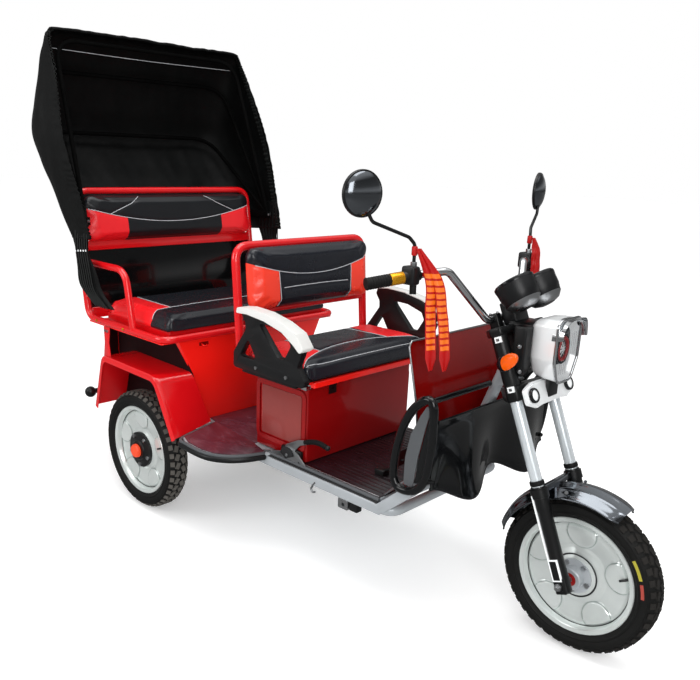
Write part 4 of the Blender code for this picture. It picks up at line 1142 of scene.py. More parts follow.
@dataclass
class Hood:
    """Folding hood: one stretched cover with a front valance, its gathered skirts and its bows."""
    half: float = 0.46
    thickness: float = 0.0032
    boxiness: float = 0.36
    rows: tuple = ((-0.212, 0.985, -0.42, 0.975, 0.456), (-0.232, 1.06, -0.5, 1.065, 0.461),
        (-0.262, 1.15, -0.572, 1.165, 0.466), (-0.292, 1.235, -0.64, 1.245, 0.474), (-0.33, 1.34, -0.697, 1.35, 0.477),
        (-0.365, 1.44, -0.664, 1.45, 0.467), (-0.402, 1.53, -0.622, 1.55, 0.454), (-0.44, 1.61, -0.57, 1.64, 0.446),
        (-0.47, 1.665, -0.52, 1.69, 0.438), (-0.48, 1.69, -0.474, 1.702, 0.43))
    pivot: Triple = (-0.275, 0.44, 1.04)
    bows: tuple = ((-0.484, 1.67, 0.412), (-0.575, 1.568, 0.418), (-0.648, 1.352, 0.396))

    def section(self, row: Sequence[float], count: int) -> Row:
        """One level of the cover, from the right front edge round the back to the left.

        Args:
            row: front x and z, back x and z, half width.
            count: number of points.

        Returns:
            The points.
        """
        fx, fz, bx, bz, half = row
        found = []
        for i in range(count):
            a = pi * i / (count - 1)
            across = -copysign(abs(cos(a)) ** self.boxiness, cos(a))
            depth = max(0, sin(a)) ** self.boxiness
            found.append(Vector((fx + (bx - fx) * depth, half * across, fz + (bz - fz) * depth)))
        return found

    def levels(self, steps: int) -> list[tuple]:
        """The section sizes with smooth steps between them.

        Args:
            steps: steps between two given levels.

        Returns:
            The finer levels.
        """
        paths = [spline([(r[k], r[k + 1], 0) for r in self.rows], steps) for k in (0, 2)]
        halves = spline([(r[4], 0, 0) for r in self.rows], steps)
        return [(f.x, f.y, b.x, b.y, h.x) for f, b, h in zip(*paths, halves)]

    def cover(self) -> None:
        """The cover: even points round each level, slack between the bows, small folds."""
        rows = []
        levels = self.levels(18)
        for k, level in enumerate(levels):
            t = k / (len(levels) - 1)
            raw = self.section(level, 721)
            lengths = [0]
            for a, b in zip(raw, raw[1:]):
                lengths.append(lengths[-1] + (b - a).length)
            row = []
            j = 0
            for i in range(181):
                want = lengths[-1] * i / 180
                while j < len(raw) - 2 and lengths[j + 1] < want:
                    j += 1
                share = (want - lengths[j]) / max(1e-9, lengths[j + 1] - lengths[j])
                row.append(raw[j].lerp(raw[j + 1], share))
            rows.append(row)
        folded = []
        for k, row in enumerate(rows):
            t = k / (len(rows) - 1)
            line = []
            for i, p in enumerate(row):
                s = i / (len(row) - 1)
                before = rows[max(0, k - 1)][i]
                after = rows[min(len(rows) - 1, k + 1)][i]
                left = row[max(0, i - 1)]
                right = row[min(len(row) - 1, i + 1)]
                normal = (right - left).cross(after - before)
                normal = normal.normalized() if normal.length > 1e-9 else Vector((0, 0, 1))
                edge = min(s, 1 - s)
                gather = exp(-(edge / 0.03) ** 2) * sin(t * 170 + 5 * sin(t * 23)) * 0.0014
                slack = 0.005 * noise.noise(Vector((s * 9, t * 2.6, 4))) \
                    + 0.0028 * noise.noise(Vector((s * 26, t * 7 + s * 8, 9)))
                creases = 0.0018 * sin(60 * s + 9 * t + 3 * sin(14 * t)) \
                    * max(0, noise.noise(Vector((s * 5, t * 4, 1))))
                inward = max(0, min(1, edge / 0.02))
                line.append(p - normal * (0.0035 + (slack + creases) * inward + gather))
            folded.append(line)
        piece = Piece("hood_cover_canvas", CANVAS)
        piece.grid(folded, wall=self.thickness)
        hood = piece.done("chassis", "hood_cover", sharp=70)
        self.trims(folded)

    def trims(self, rows: list[Row]) -> None:
        """Bound edges, gathered front frill and the valance seam.

        Args:
            rows: the cover's rows.
        """
        trim = Piece("hood_cover_bindings", CANVAS_TAPE)
        trim.tube(rows[-1], 0.0052, sides=10)
        trim.tube(rows[0], 0.0045, sides=10)
        trim.done("chassis")
        # The frill's lighter grey is painted highlight on its gathers.
        frill = Piece("hood_front_frill", GATHER_HIGHLIGHT)
        for index, side in ((3, -1), (-4, 1)):
            line = spline([r[index] for r in rows[::4]], 9)
            strip = []
            for k, p in enumerate(line):
                wave = sin(k * 0.95 + 1.6 * sin(k * 0.11))
                strip.append([p + Vector((0.024 * (s - 0.3), side * (0.003 * wave - 0.0036), 0)) for s in (0, 0.35, 0.7,
                    1)])
            frill.grid(strip, wall=0.0012)
        frill.done("chassis", sharp=70)
        seam = Piece("hood_valance_seam", THREAD)
        front = rows[-32]
        a, b = front[9] + Vector((-0.026, 0.018, 0)), front[-10] + Vector((-0.026, -0.018, 0))
        seam.tube(spline([a, (a + b) / 2 + Vector((0, 0, -0.004)), b], 12), 0.0011, sides=6)
        seam.done("chassis")

    def skirts(self) -> None:
        """Gathered cloth below the pivots, tied in at the frame, with a row of studs."""
        piece = Piece("hood_skirts", CANVAS)
        spots = []
        for side in (-1, 1):
            rows = []
            rails = ((1.096, -0.3, -0.238), (1.05, -0.33, -0.232), (0.99, -0.352, -0.232), (0.935, -0.33, -0.238),
                (0.87, -0.32, -0.196), (0.8, -0.3, -0.162), (0.745, -0.188, -0.084))
            backs = spline([(x, z, 0) for z, x, _ in rails], 8)
            fronts = spline([(x, z, 0) for z, _, x in rails], 8)
            for k, (b, f) in enumerate(zip(backs, fronts)):
                t = k / (len(backs) - 1)
                row = []
                for i in range(41):
                    s = i / 40
                    fold = sin(s * 34 + 1.5 * sin(t * 5)) * (0.003 + 0.003 * t)
                    row.append(Vector((f.x + (b.x - f.x) * s, side * (0.456 + fold), f.y + (b.y - f.y) * s)))
                rows.append(row)
            piece.grid(rows, wall=0.0022)
            for i in range(5):
                x = -0.318 + 0.019 * i
                spots.append(Spot((x, side * 0.464, 0.93 + 0.002 * i), (0, side, 0)))
        piece.done("chassis", sharp=70)
        stamp("hood_skirt_studs", Stamp.RIVET, spots, (0.008, 0.008, 0.004), REFLECTOR, "chassis", 80)
        # Lighter strips down each skirt: painted highlight streaks on its gathers.
        highlight_strips = Piece("hood_skirt_highlight_strips", GATHER_HIGHLIGHT)
        for side in (-1, 1):
            for k in range(6):
                x = -0.315 + 0.016 * k
                line = [(x * 0.6 - 0.098, side * 0.46, 1.085), (x, side * 0.462, 1), (x, side * 0.464, 0.93),
                    (x + 0.016, side * 0.464, 0.86), (x + 0.04, side * 0.464, 0.795), (x + 0.12, side * 0.46, 0.742)]
                highlight_strips.sweep(spline(line, 6), [(-0.0035, -0.0006), (0.0035, -0.0006), (0.0035, 0.0006),
                    (-0.0035, 0.0006)], up=(0, side, 0))
        highlight_strips.done("chassis")

    def frame_tubes(self) -> None:
        """The three bows on their common pivots, and the brackets to the seat frame."""
        piece = Piece("hood_bow_tubes", SLEEVE)
        px, py, pz = self.pivot
        for x, z, half in self.bows:
            piece.tube(across([(px, -py, pz), (x, -half, z)]), 0.008, bend=0.1, sides=16)
        for side in (-1, 1):
            ys = span(side, 0.4278, (py + 0.004))
            piece.block((-0.4, px + 0.012), ys, (1.026, 1.054), edge=0.002)
            piece.rod((px, side * 0.43, pz), (px, side * 0.45, pz), 0.013, PLATED, edge=0.0015)
        piece.done("chassis", "hood_bows")

    def build(self) -> None:
        """Make the whole hood."""
        self.frame_tubes()
        self.cover()
        self.skirts()


@dataclass
class Chassis:
    """Rails, down tube, floor mats, edging strips and small hooks below."""
    rail_half: float = 0.27
    floor_low: float = 0.3378
    floor_top: float = 0.352
    outline: tuple = ((0.166, 0.226), (0.214, 0.236), (0.264, 0.411), (0.318, 0.433), (0.4, 0.437), (0.452, 0.426),
        (0.5, 0.393), (0.532, 0.345), (0.552, 0.29), (0.575, 0.27), (1.04, 0.27))

    def frame_tubes(self) -> None:
        """Square rails with welded cross pieces, front rise and head tube."""
        piece = Piece("frame_rails", GREY_STEEL)
        for side in (-1, 1):
            y = side * self.rail_half
            piece.block((0.2, 1.046), near(y, 0.0155), (0.3065, 0.3375), edge=0.003)
            rise = [(1.03, 0.3065), (1.052, 0.3065), (1.166, 0.405), (1.14, 0.425), (1.04, 0.3375), (1.03, 0.3375)]
            piece.plate(rise, y - 0.015, y + 0.015, "y", edge=0.002)
            piece.block((-0.345, 0.262), near(side * 0.24, 0.014), (0.3065, 0.3375), edge=0.003)
            piece.rod((0.2, y, 0.322), (0.196, y, 0.322), 0.011, ABS, sides=16)
            piece.plate([(0.262, 0.3075), (0.3, 0.3075), (0.262, 0.3365)], side * 0.256 - 0.002, side * 0.256 + 0.002,
                "y")
        for x in (0.23, 0.56, 0.9, 1.01):
            piece.block((x, x + 0.03), (-0.262, 0.262), (0.307, 0.337), edge=0.003)
        for x in (-0.33, -0.06):
            piece.block(near(x, 0.014), (-0.236, 0.236), (0.307, 0.337), edge=0.003)
        piece.tube(across([(1, -0.27, 0.322), (1.088, -0.27, 0.322)]), 0.0152, bend=0.05, sides=28)
        piece.tube([(1.015, 0, 0.32), (1.062, 0, 0.32), (1.176, 0, 0.45), (1.192, 0, 0.6), tuple(steer(0.345))], 0.0165,
            bend=0.05, sides=28)
        piece.rod(steer(0.2807), steer(0.408), 0.025, edge=0.002, sides=40)
        piece.rod(steer(0.2807), steer(0.287), 0.0268, PLATED, edge=0.001)
        piece.rod(steer(0.4017), steer(0.408), 0.0268, PLATED, edge=0.001)
        for side in (-1, 1):
            gusset = [(1.192, 0.6), (1.232, 0.69), (1.262, 0.7), (1.262, 0.76), (1.214, 0.65)]
            piece.plate(gusset, side * 0.0172, side * 0.0192, "y")
        piece.done("chassis", "frame")

    def mats(self) -> None:
        """Pressed maroon sheet at the rear, dark mat in front, and their edging strips."""
        rear = Piece("floor_mat_rear", REAR_MAT)
        front = Piece("floor_mat_front", FRONT_MAT)
        half = list(self.outline)
        outline = smooth_outline(both([(x, -y) for x, y in half]), 0.012, 3)
        base = Piece("floor_board", GREY_STEEL)
        base.plate(outline, self.floor_low, self.floor_top - 0.003, "z", edge=0.0015)
        base.done("chassis", "floor")
        wings = [p for p in half if p[0] <= 0.56]
        right, left = [(x, -y + 0.006) for x, y in wings], [(x, y - 0.006) for x, y in reversed(wings)]
        shape = smooth_outline([*right, (0.47, -0.262), (0.47, 0.262), *left], 0.008, 2)
        rear.plate(shape, self.floor_top - 0.0032, self.floor_top, "z", edge=0.0012)
        rear.done("chassis")
        front.plate(both([(0.56, -0.266), (1.036, -0.266)]), self.floor_top - 0.0032, self.floor_top - 0.0002, "z",
            edge=0.001)
        for y in [-0.24 + 0.02 * i for i in range(25)]:
            front.block((0.725, 1.028), near(y, 0.0035), (self.floor_top - 0.0008, self.floor_top + 0.0006))
        front.done("chassis")
        edging = Piece("floor_edging", GREY_RUBBER)
        lip = Piece("floor_edging_channel", ABS)
        for side in (-1, 1):
            line = spline([(x, side * (y + 0.0008), 0) for x, y in half[1:]], 4)
            for z, r, body in ((0.3465, 0.0058, edging), (0.3335, 0.0108, lip)):
                body.tube([Vector((p.x, p.y, z)) for p in line], r, sides=12)
            edging.block((0.566, 1.032), span(side, 0.2605, 0.264), (0.3505, 0.3526), PLATED, edge=0.0006)
        edging.done("chassis")
        lip.done("chassis")

    def hooks(self) -> None:
        """Small latch plate and channel stub below the right rail, and their twins."""
        piece = Piece("rail_hooks", PLATED)
        for side in (-1, 1):
            y = side * 0.2835
            piece.tube([(0.792, y, 0.322), (0.78, y, 0.308), (0.772, y, 0.294), (0.778, y, 0.284), (0.79, y, 0.288)],
                0.0034, bend=0.006, sides=12)
            stub = rectangle(0.889, 0.93, 0.274, 0.3064, 0.005, 3)
            eye = [(0.91 + u, 0.288 + v) for u, v in circle(0.006, 16)]
            piece.plate(stub, *span(side, 0.256, 0.284), "y", edge=0.001, holes=[eye])
            piece.block((0.934, 0.966), span(side, 0.258, 0.282), (0.278, 0.3062), ABS, edge=0.003)
        piece.done("chassis")

    def build(self) -> None:
        """Make all pieces."""
        self.frame_tubes()
        self.mats()
        self.hooks()


@dataclass
class Boxes:
    """Front seat box, rear seat box with its trapezoid front, fenders and latches."""
    front_x: tuple[float, float] = (0.472, 0.716)
    front_half: float = 0.254
    top: float = 0.6117

    def panel(self, piece: Piece, spot: Callable[[float, float], Vector], size: tuple[float, float], raised: float,
            band: float, finish: Finish) -> None:
        """Add a pressed rectangle as a low moulding round an area.

        Args:
            piece: piece that gets it.
            spot: place of a point (u, v) on the panel.
            size: half width and half height of the rectangle.
            raised: height of the moulding.
            band: width of the moulding.
            finish: its paint.
        """
        u, v = size
        loop = rectangle(-u, u, -v, v, min(u, v) * 0.22, 6)
        path = [spot(*p) for p in loop]
        normal = (spot(1, 0) - spot(0, 0)).cross(spot(0, 1) - spot(0, 0)).normalized()
        profile = [(-band, -raised), (-band * 0.5, raised * 0.8), (0, raised), (band * 0.5, raised * 0.8),
            (band, -raised)]
        piece.sweep(path, profile, finish, up=normal, closed=True)

    def front(self) -> None:
        """Seat box with pressed sides, folded top flange and a hasp."""
        piece = Piece("front_box_shell", DEEP_ENAMEL)
        (a, b), h, low = self.front_x, self.front_half, 0.3523
        piece.block((a, b), (-h, h), (low, self.top), edge=0.006, segments=4)
        mid = (a + b) / 2
        for side in (-1, 1):
            self.panel(piece, lambda u, v, s=side: Vector((mid + s * u, s * (h + 0.0004), 0.486 + v)).copy(),
                (0.11, 0.096), 0.0035, 0.008, DEEP_ENAMEL)
            plate = rectangle(0.5, 0.69, 0.404, 0.57, 0.008, 4)
            piece.plate(plate, *span(side, h + 0.0002, h + 0.0018), "y", MAROON_PANEL, edge=0.0008)
            piece.block((a + 0.004, b - 0.004), (side * h - 0.0022, side * h + 0.0022), (0.592, 0.5975), edge=0.0015)
        piece.done("chassis", "seat_box_front")
        self.hasp((b, -0.145, 0.604))

    def hasp(self, at: Triple) -> None:
        """Small folded strap and staple under the seat's lip.

        Args:
            at: top of the latch.
        """
        x, y, z = at
        # The hasp under the seat's lip takes the near-black red of painted shade.
        piece = Piece("front_box_hasp", PAINTED_SHADE_RED)
        piece.block((x + 0.0004, x + 0.0034), near(y, 0.017), (z - 0.036, z - 0.004), edge=0.0012)
        piece.tube([(x + 0.001, y - 0.004, z - 0.018), (x + 0.009, y - 0.004, z - 0.018),
            (x + 0.009, y + 0.004, z - 0.018), (x + 0.001, y + 0.004, z - 0.018)], 0.0016, bend=0.003, sides=12)
        piece.done("chassis")

    def rear(self) -> None:
        """Rear box, its sloping front panel with stiffeners, the deck and a latch."""
        piece = Piece("rear_box_shell", RED_ENAMEL)
        # Inner box in painted shade: near-black red sides where the deck overhangs them.
        piece.block((-0.326, 0.157), (-0.3, 0.3), (0.3378, 0.656), PAINTED_SHADE_RED, edge=0.004)
        piece.block((-0.33, -0.327), (-0.3, 0.3), (0.3378, 0.656), edge=0.001)
        outline = [(-0.35, 0.66), (-0.288, 0.532), (-0.236, 0.3378), (0.236, 0.3378), (0.288, 0.532), (0.35, 0.66)]
        piece.plate(outline, 0.1575, 0.162, "x", edge=0.0015)
        piece.plate(rectangle(-0.334, 0.162, -0.418, 0.418, 0.01, 4), 0.6555, 0.66, "z", edge=0.0018)
        for side in (-1, 1):
            piece.plate([(0.15, 0.656), (0.15, 0.56), (0.05, 0.656)], side * 0.301, side * 0.304, "y")
            # Rear end plates beside the box: red outside, painted shade on the face towards the recess.
            for low, high, skin in ((-0.33, -0.3286, RED_ENAMEL), (-0.3284, -0.327, PAINTED_SHADE_RED)):
                piece.block((low, high), span(side, 0.299, 0.356), (0.5, 0.6556), skin, edge=0.0005)
        self.panel(piece, lambda u, v: Vector((-0.3304, u, 0.452 + v)), (0.235, 0.07), 0.003, 0.01, RED_ENAMEL)
        piece.done("chassis", "rear_box")
        latch = Piece("rear_panel_latch", SHIELD_ENAMEL)
        latch.block((0.1622, 0.165), (-0.262, -0.222), (0.632, 0.644), edge=0.001)
        latch.tube([(0.164, -0.252, 0.638), (0.174, -0.25, 0.634), (0.174, -0.236, 0.63), (0.166, -0.232, 0.634)],
            0.0026, RED_ENAMEL, bend=0.004, sides=12)
        latch.done("chassis")

    def fenders(self) -> None:
        """Flat rear fenders with a bent lip and their post."""
        inner = ((-0.289, 0.3003, 0.33), (-0.223, 0.3003, 0.545), (0.1715, 0.3003, 0.5385), (0.205, 0.246, 0.3535))
        outer = ((-0.289, 0.43, 0.33), (-0.223, 0.43, 0.545), (0.129, 0.43, 0.54), (0.245, 0.43, 0.34))
        for side, name in SIDES:
            piece = Piece(f"fender_{name}_sheet", TUBE_ENAMEL)
            rows = []
            for rail in (inner, outer):
                points = [Vector((x, side * y, z)) for x, y, z in rail]
                rows.append(rounded(points, 0.03, 5, 0.45, True))
            count = 9
            grid = [[a.lerp(b, i / (count - 1)) for a, b in zip(*rows)] for i in range(count)]
            lip = [p + Vector((0, side * 0.0015, -0.004)) for p in grid[-1]]
            down = []
            for i, p in enumerate(lip):
                along = (lip[min(i + 1, len(lip) - 1)] - lip[max(i - 1, 0)]).normalized()
                inwards = along.cross(Vector((0, 1, 0)))
                inwards = -inwards if inwards.z > 0 and abs(inwards.z) > abs(inwards.x) else inwards
                centre = Vector((0, p.y, 0.2))
                inwards = (centre - p).normalized() if inwards.dot(centre - p) < 0 else inwards
                down.append(p + inwards * 0.017)
            piece.grid(grid + [lip, down], wall=0.0025)
            ys = span(side, 0.424, 0.4275)
            piece.plate([(-0.208, 0.659), (-0.166, 0.659), (-0.176, 0.6), (-0.166, 0.541), (-0.216, 0.541),
                (-0.206, 0.6)], ys[0], ys[1], "y", edge=0.001)
            piece.done("chassis", f"fender_{name}", sharp=50)
            spots = [Spot((x, side * 0.429, 0.645), (0, side, 0)) for x in (-0.195, -0.179)]
            stamp(f"fender_{name}_bolts", Stamp.HEX_BOLT, spots, (0.011, 0.011, 0.005), PLATED, "chassis", 40)

    def build(self) -> None:
        """Make both boxes and the fenders."""
        self.front()
        self.rear()
        self.fenders()


@dataclass
class RearSeat:
    """Passengers' seat: tube frame with arms, sheet back and wooden pan edge."""
    lean: float = atan2(0.4 - 0.335, 1.14 - TUBE_Z)

    def plane(self) -> Matrix:
        """Matrix from depth, y and height on the leaning back to vehicle axes."""
        c, n, t = cos(self.lean), sin(self.lean), tan(self.lean)
        return Matrix(((c, 0, -t, TUBE_Z * t - 0.335), (0, 1, 0, 0), (n, 0, 1, 0), (0, 0, 0, 1)))

    def build(self) -> None:
        """Make the frame, the sheet back and the pan."""
        piece = Piece("rear_seat_tubes", TUBE_ENAMEL)
        run = across([(0.1735, -TUBE_Y, TUBE_Z), (-0.335, -TUBE_Y, TUBE_Z), (-0.4, -TUBE_Y, 1.14)])
        piece.tube([(0.1735, 0, TUBE_Z)] + run + [(0.1735, 0, TUBE_Z)], 0.0125, bend=0.055, sides=24)
        arm = self.plane() @ Vector((0, 0, 0.885))
        for side in (-1, 1):
            y = side * TUBE_Y
            piece.tube([(arm.x, y, arm.z), (-0.06, y, 0.885), (-0.02, y, TUBE_Z)], 0.0125, bend=0.07, sides=24)
            for x in (-0.255, -0.07):
                piece.rod((x, side * 0.427, TUBE_Z), (x, side * 0.4305, TUBE_Z), 0.0055, GOLD_RING, sides=6, edge=0.001)
        for heights in ((0.92, 0.956), (0.666, 0.706)):
            piece.block((-0.004, 0.0085), (-0.402, 0.402), heights, edge=0.003, matrix=self.plane())
        piece.done("chassis", "seat_frame_rear")
        sheet = Piece("rear_back_sheet", BLACK_ENAMEL)
        sheet.block((-0.006, 0.0035), (-0.4022, 0.4022), (0.704, 0.922), edge=0.0015, matrix=self.plane())
        for z in (0.76, 0.866):
            path = [self.plane() @ Vector((-0.0062, y, z)) for y in (-0.34, -0.17, 0, 0.17, 0.34)]
            sheet.sweep(path, [(-0.012, -0.001), (-0.006, 0.004), (0.006, 0.004), (0.012, -0.001)],
                up=(-cos(self.lean), 0, -sin(self.lean)))
        sheet.done("chassis", "back_panel_rear")
        pan = Piece("rear_pan_board", TUBE_ENAMEL)
        pan.plate(rectangle(-0.262, 0.146, -0.38, 0.38, 0.012, 4), 0.6605, 0.7, "z", edge=0.006, segments=4)
        pan.done("rear_seat_lid", "seat_pan_rear")


@dataclass
class FrontSeat:
    """Driver's seat: pan with rolled edges, leaning tube frame and two armrests."""
    support: tuple = ((0.448, 0.632), (0.772, 0.632), (0.784, 0.65), (0.748, 0.692), (0.772, 0.752), (0.792, 0.764),
        (0.76, 0.795), (0.7, 0.818), (0.62, 0.834), (0.54, 0.838), (0.496, 0.832), (0.488, 0.814), (0.506, 0.788),
        (0.508, 0.764), (0.45, 0.684))
    holes: tuple = (((0.478, 0.674), (0.562, 0.674), (0.52, 0.738)), ((0.566, 0.798), (0.64, 0.795), (0.705, 0.775),
        (0.718, 0.75), (0.69, 0.704), (0.66, 0.704)))
    pad: tuple = ((0.488, 0.818), (0.54, 0.821), (0.62, 0.813), (0.7, 0.794), (0.752, 0.764), (0.778, 0.744),
        (0.797, 0.758), (0.764, 0.799), (0.702, 0.822), (0.622, 0.838), (0.54, 0.842), (0.494, 0.836))

    def build(self) -> None:
        """Make the pan, the frame and both armrests."""
        pan = Piece("front_pan_tray", ABS)
        pan.plate(rectangle(0.4588, 0.748, -0.312, 0.312, 0.016, 5), 0.633, 0.652, "z", edge=0.006, segments=4)
        pan.plate(rectangle(0.4588, 0.716, -0.311, 0.311, 0.01, 4), 0.612, 0.64, "z", edge=0.004, segments=3)
        pan.block((0.71, 0.753), (-0.262, 0.262), (0.6122, 0.632), RED_ENAMEL, edge=0.004)
        for side in (-1, 1):
            pan.block((0.742, 0.7662), near(side * 0.3015, 0.012), (0.618, 0.6345), CHROME, edge=0.004)
        pan.done("front_seat", "seat_pan_front")
        frame_tube = Piece("front_seat_tubes", TUBE_ENAMEL)
        frame_tube.tube(across([(0.446, -0.3, 0.622), (0.412, -0.3, 1.012)]), 0.0142, bend=0.05, sides=24)
        for z, x in ((0.634, 0.4449), (0.798, 0.4307)):
            frame_tube.rod((x, -0.295, z), (x, 0.295, z), 0.01, sides=24)
        frame_tube.done("front_seat", "seat_frame_front")
        for side, name in SIDES:
            arm = Piece(f"armrest_{name}_support", ABS)
            ys = span(side, 0.313, 0.3346)
            arm.plate(smooth_outline(self.support, 0.012, 4), *ys, "y", edge=0.0035,
                holes=[smooth_outline(h, 0.01, 4) for h in self.holes])
            arm.done("front_seat", f"armrest_{name}")
            cap = Piece(f"armrest_{name}_pad", WHITE_PAD)
            cap.plate(smooth_outline(self.pad, 0.006, 4), *span(side, 0.3134, 0.3586), "y", edge=0.0065, segments=4)
            cap.done("front_seat")
            spots = [Spot((x, side * 0.335, 0.65), (0, side, 0)) for x in (0.56, 0.7)]
            stamp(f"armrest_{name}_bolts", Stamp.HEX_BOLT, spots, (0.012, 0.012, 0.005), PLATED, "front_seat", 40)


@dataclass
class FrontEnd:
    """Leg shield, bulged guard with its rails, grey inner strip and bumper tube."""
    shield: tuple = ((1.036, 0.3523), (1.15, 0.462), (1.128, 0.65), (1.0895, 0.809), (1.086, 0.823))
    loop: tuple = ((1.107, 0.45), (1.106, 0.49), (1.113, 0.545), (1.131, 0.61), (1.158, 0.66), (1.186, 0.688),
        (1.208, 0.699), (1.224, 0.684), (1.228, 0.62), (1.224, 0.54), (1.214, 0.478), (1.19, 0.44), (1.154, 0.424),
        (1.122, 0.427))

    def build(self) -> None:
        """Make the shield and the guard."""
        piece = Piece("leg_shield_sheet", SHIELD_ENAMEL)
        line = rounded([(x, 0, z) for x, z in self.shield], 0.035, 6, 0.45, True)
        rows = []
        for k, p in enumerate(line):
            after = line[min(k + 1, len(line) - 1)]
            before = line[max(k - 1, 0)]
            along = (after - before).normalized()
            inside = Vector((-along.z, 0, along.x)) if along.z > 0 else Vector((along.z, 0, -along.x))
            half = 0.24 if p.z < 0.8 else 0.24 - 0.014 * ((p.z - 0.8) / 0.023) ** 2
            row = []
            for i in range(33):
                y = -half + 2 * half * i / 32
                crease = 0.004 * exp(-((abs(y) - 0.17) / 0.01) ** 2) if p.z > 0.4 else 0
                row.append(Vector((p.x, y, p.z)) + inside * (0.002 - crease * 0.5))
            rows.append(row)
        piece.grid(rows, wall=0.003)
        edge = [rows[0][0]] + [r[0] for r in rows] + [p for p in rows[-1]] + [r[-1] for r in reversed(rows)]
        piece.done("chassis", "leg_shield", sharp=50)
        trim = Piece("leg_shield_edging", PLATED)
        trim.tube([p for i, p in enumerate(edge) if i == 0 or (p - edge[i - 1]).length > 0.001], 0.0028, sides=10)
        trim.done("chassis")
        guard = Piece("front_guard_shell", BLACK_ENAMEL)
        for side in (-1, 1):
            loop = [(x, side * 0.2965, z) for x, z in self.loop]
            guard.tube(spline(loop + loop[:1], 5)[:-1], 0.0122, sides=20, closed=True, up=(0, 1, 0))
            guard.tube([(1.211, side * 0.2945, 0.694), (1.211, side * 0.0171, 0.694)], 0.0085, sides=20)
        rows = []
        for k in range(29):
            z = 0.655 - 0.255 * k / 28
            t = (0.655 - z) / 0.255
            row = []
            for i in range(65):
                y = -0.2915 + 0.583 * i / 64
                lobe = sin(pi * min(1, abs(y) / 0.292)) ** 2
                x = 1.234 - 0.0085 * t + lobe * 0.046 * t
                rim = 0.004 * exp(-(min(k, 28 - k) / 2) ** 2)
                row.append(Vector((x + rim, y, 0.645 - (0.655 - z) * (0.76 + 0.2 * lobe))))
            rows.append(row)
        guard.grid(rows, wall=0.0028)
        guard.tube(rows[0], 0.0042, sides=12)
        guard.tube(rows[-1], 0.0042, sides=12)
        for side in (-1, 1):
            for z in (0.64, 0.47):
                guard.rod((1.22, side * 0.29, z), (1.236, side * 0.284, z), 0.006, sides=16)
        guard.done("chassis", "front_guard")
        strip = Piece("front_guard_inner_strip", SPRING_STEEL)
        for side in (-1, 1):
            band = [(1.142, 0.44), (1.142, 0.52), (1.156, 0.59), (1.184, 0.65), (1.204, 0.684), (1.214, 0.668),
                (1.2, 0.61), (1.184, 0.53), (1.174, 0.44)]
            strip.plate(smooth_outline(band, 0.008, 3), *span(side, 0.2925, 0.2955), "y", GREY_RUBBER)
            back = [(1.176, 0.448), (1.186, 0.53), (1.202, 0.612), (1.214, 0.672), (1.226, 0.664), (1.229, 0.6),
                (1.224, 0.53), (1.21, 0.47)]
            strip.plate(smooth_outline(back, 0.006, 3), *span(side, 0.29, 0.2925), "y", BLACK_ENAMEL)
        strip.tube([(1.19, -0.285, 0.446), (1.19, 0.285, 0.446)], 0.007, sides=18)
        strip.done("chassis")


@dataclass
class RunningGear:
    """Live rear axle with its motor, drums and leaf springs."""
    arc: tuple = ((-0.325, 0.3002), (-0.2, 0.268), (0, 0.25), (0.2, 0.268), (0.32, 0.3002))

    def build(self) -> None:
        """Make the axle unit."""
        z = TYRE_RADIUS
        piece = Piece("rear_axle_unit", IRON_AND_GROOVE_SHADE)
        piece.rod((0, -0.3507, z), (0, 0.3507, z), 0.0195, sides=32)
        piece.ball((0, 0.03, z), (0.0745, 0.0695, 0.0715), segments=40)
        piece.rod((0, 0.022, z), (0, 0.038, z), 0.079, sides=40, edge=0.002)
        piece.rod((0.03, 0.03, z + 0.004), (0.19, 0.03, z + 0.004), 0.06, SATIN_BLACK, sides=48, edge=0.003)
        piece.rod((0.188, 0.03, z + 0.004), (0.214, 0.03, z + 0.004), 0.0612, GREY_STEEL, sides=48, edge=0.004)
        for i in range(9):
            x = 0.06 + 0.014 * i
            piece.rod((x, 0.03, z + 0.004), (x + 0.004, 0.03, z + 0.004), 0.0618, SATIN_BLACK, sides=48)
        for side in (-1, 1):
            piece.rod((0, side * 0.306, z), (0, side * 0.34, z), 0.066, sides=48, edge=0.004)
            for k, reach in enumerate((1, 0.74, 0.46)):
                base = spline([(x, 0, zz) for x, zz in self.arc], 10)
                kept = [p for p in base if abs(p.x) <= 0.325 * reach + 1e-6]
                path = [Vector((p.x, side * 0.24, p.z - 0.0058 * k)) for p in kept]
                half = 0.0212 - 0.001 * k
                piece.sweep(path, [(-half, -0.0026), (half, -0.0026), (half, 0.0026), (-half, 0.0026)], SPRING_STEEL)
            piece.block((-0.03, 0.03), near(side * 0.24, 0.026), (0.215, 0.236), edge=0.002)
            for x in (-0.024, 0.024):
                for y in (-0.0235, 0.0235):
                    piece.rod((x, side * 0.24 + y, 0.208), (x, side * 0.24 + y, 0.262), 0.0042, PLATED, sides=12)
        piece.done("chassis", "rear_axle")


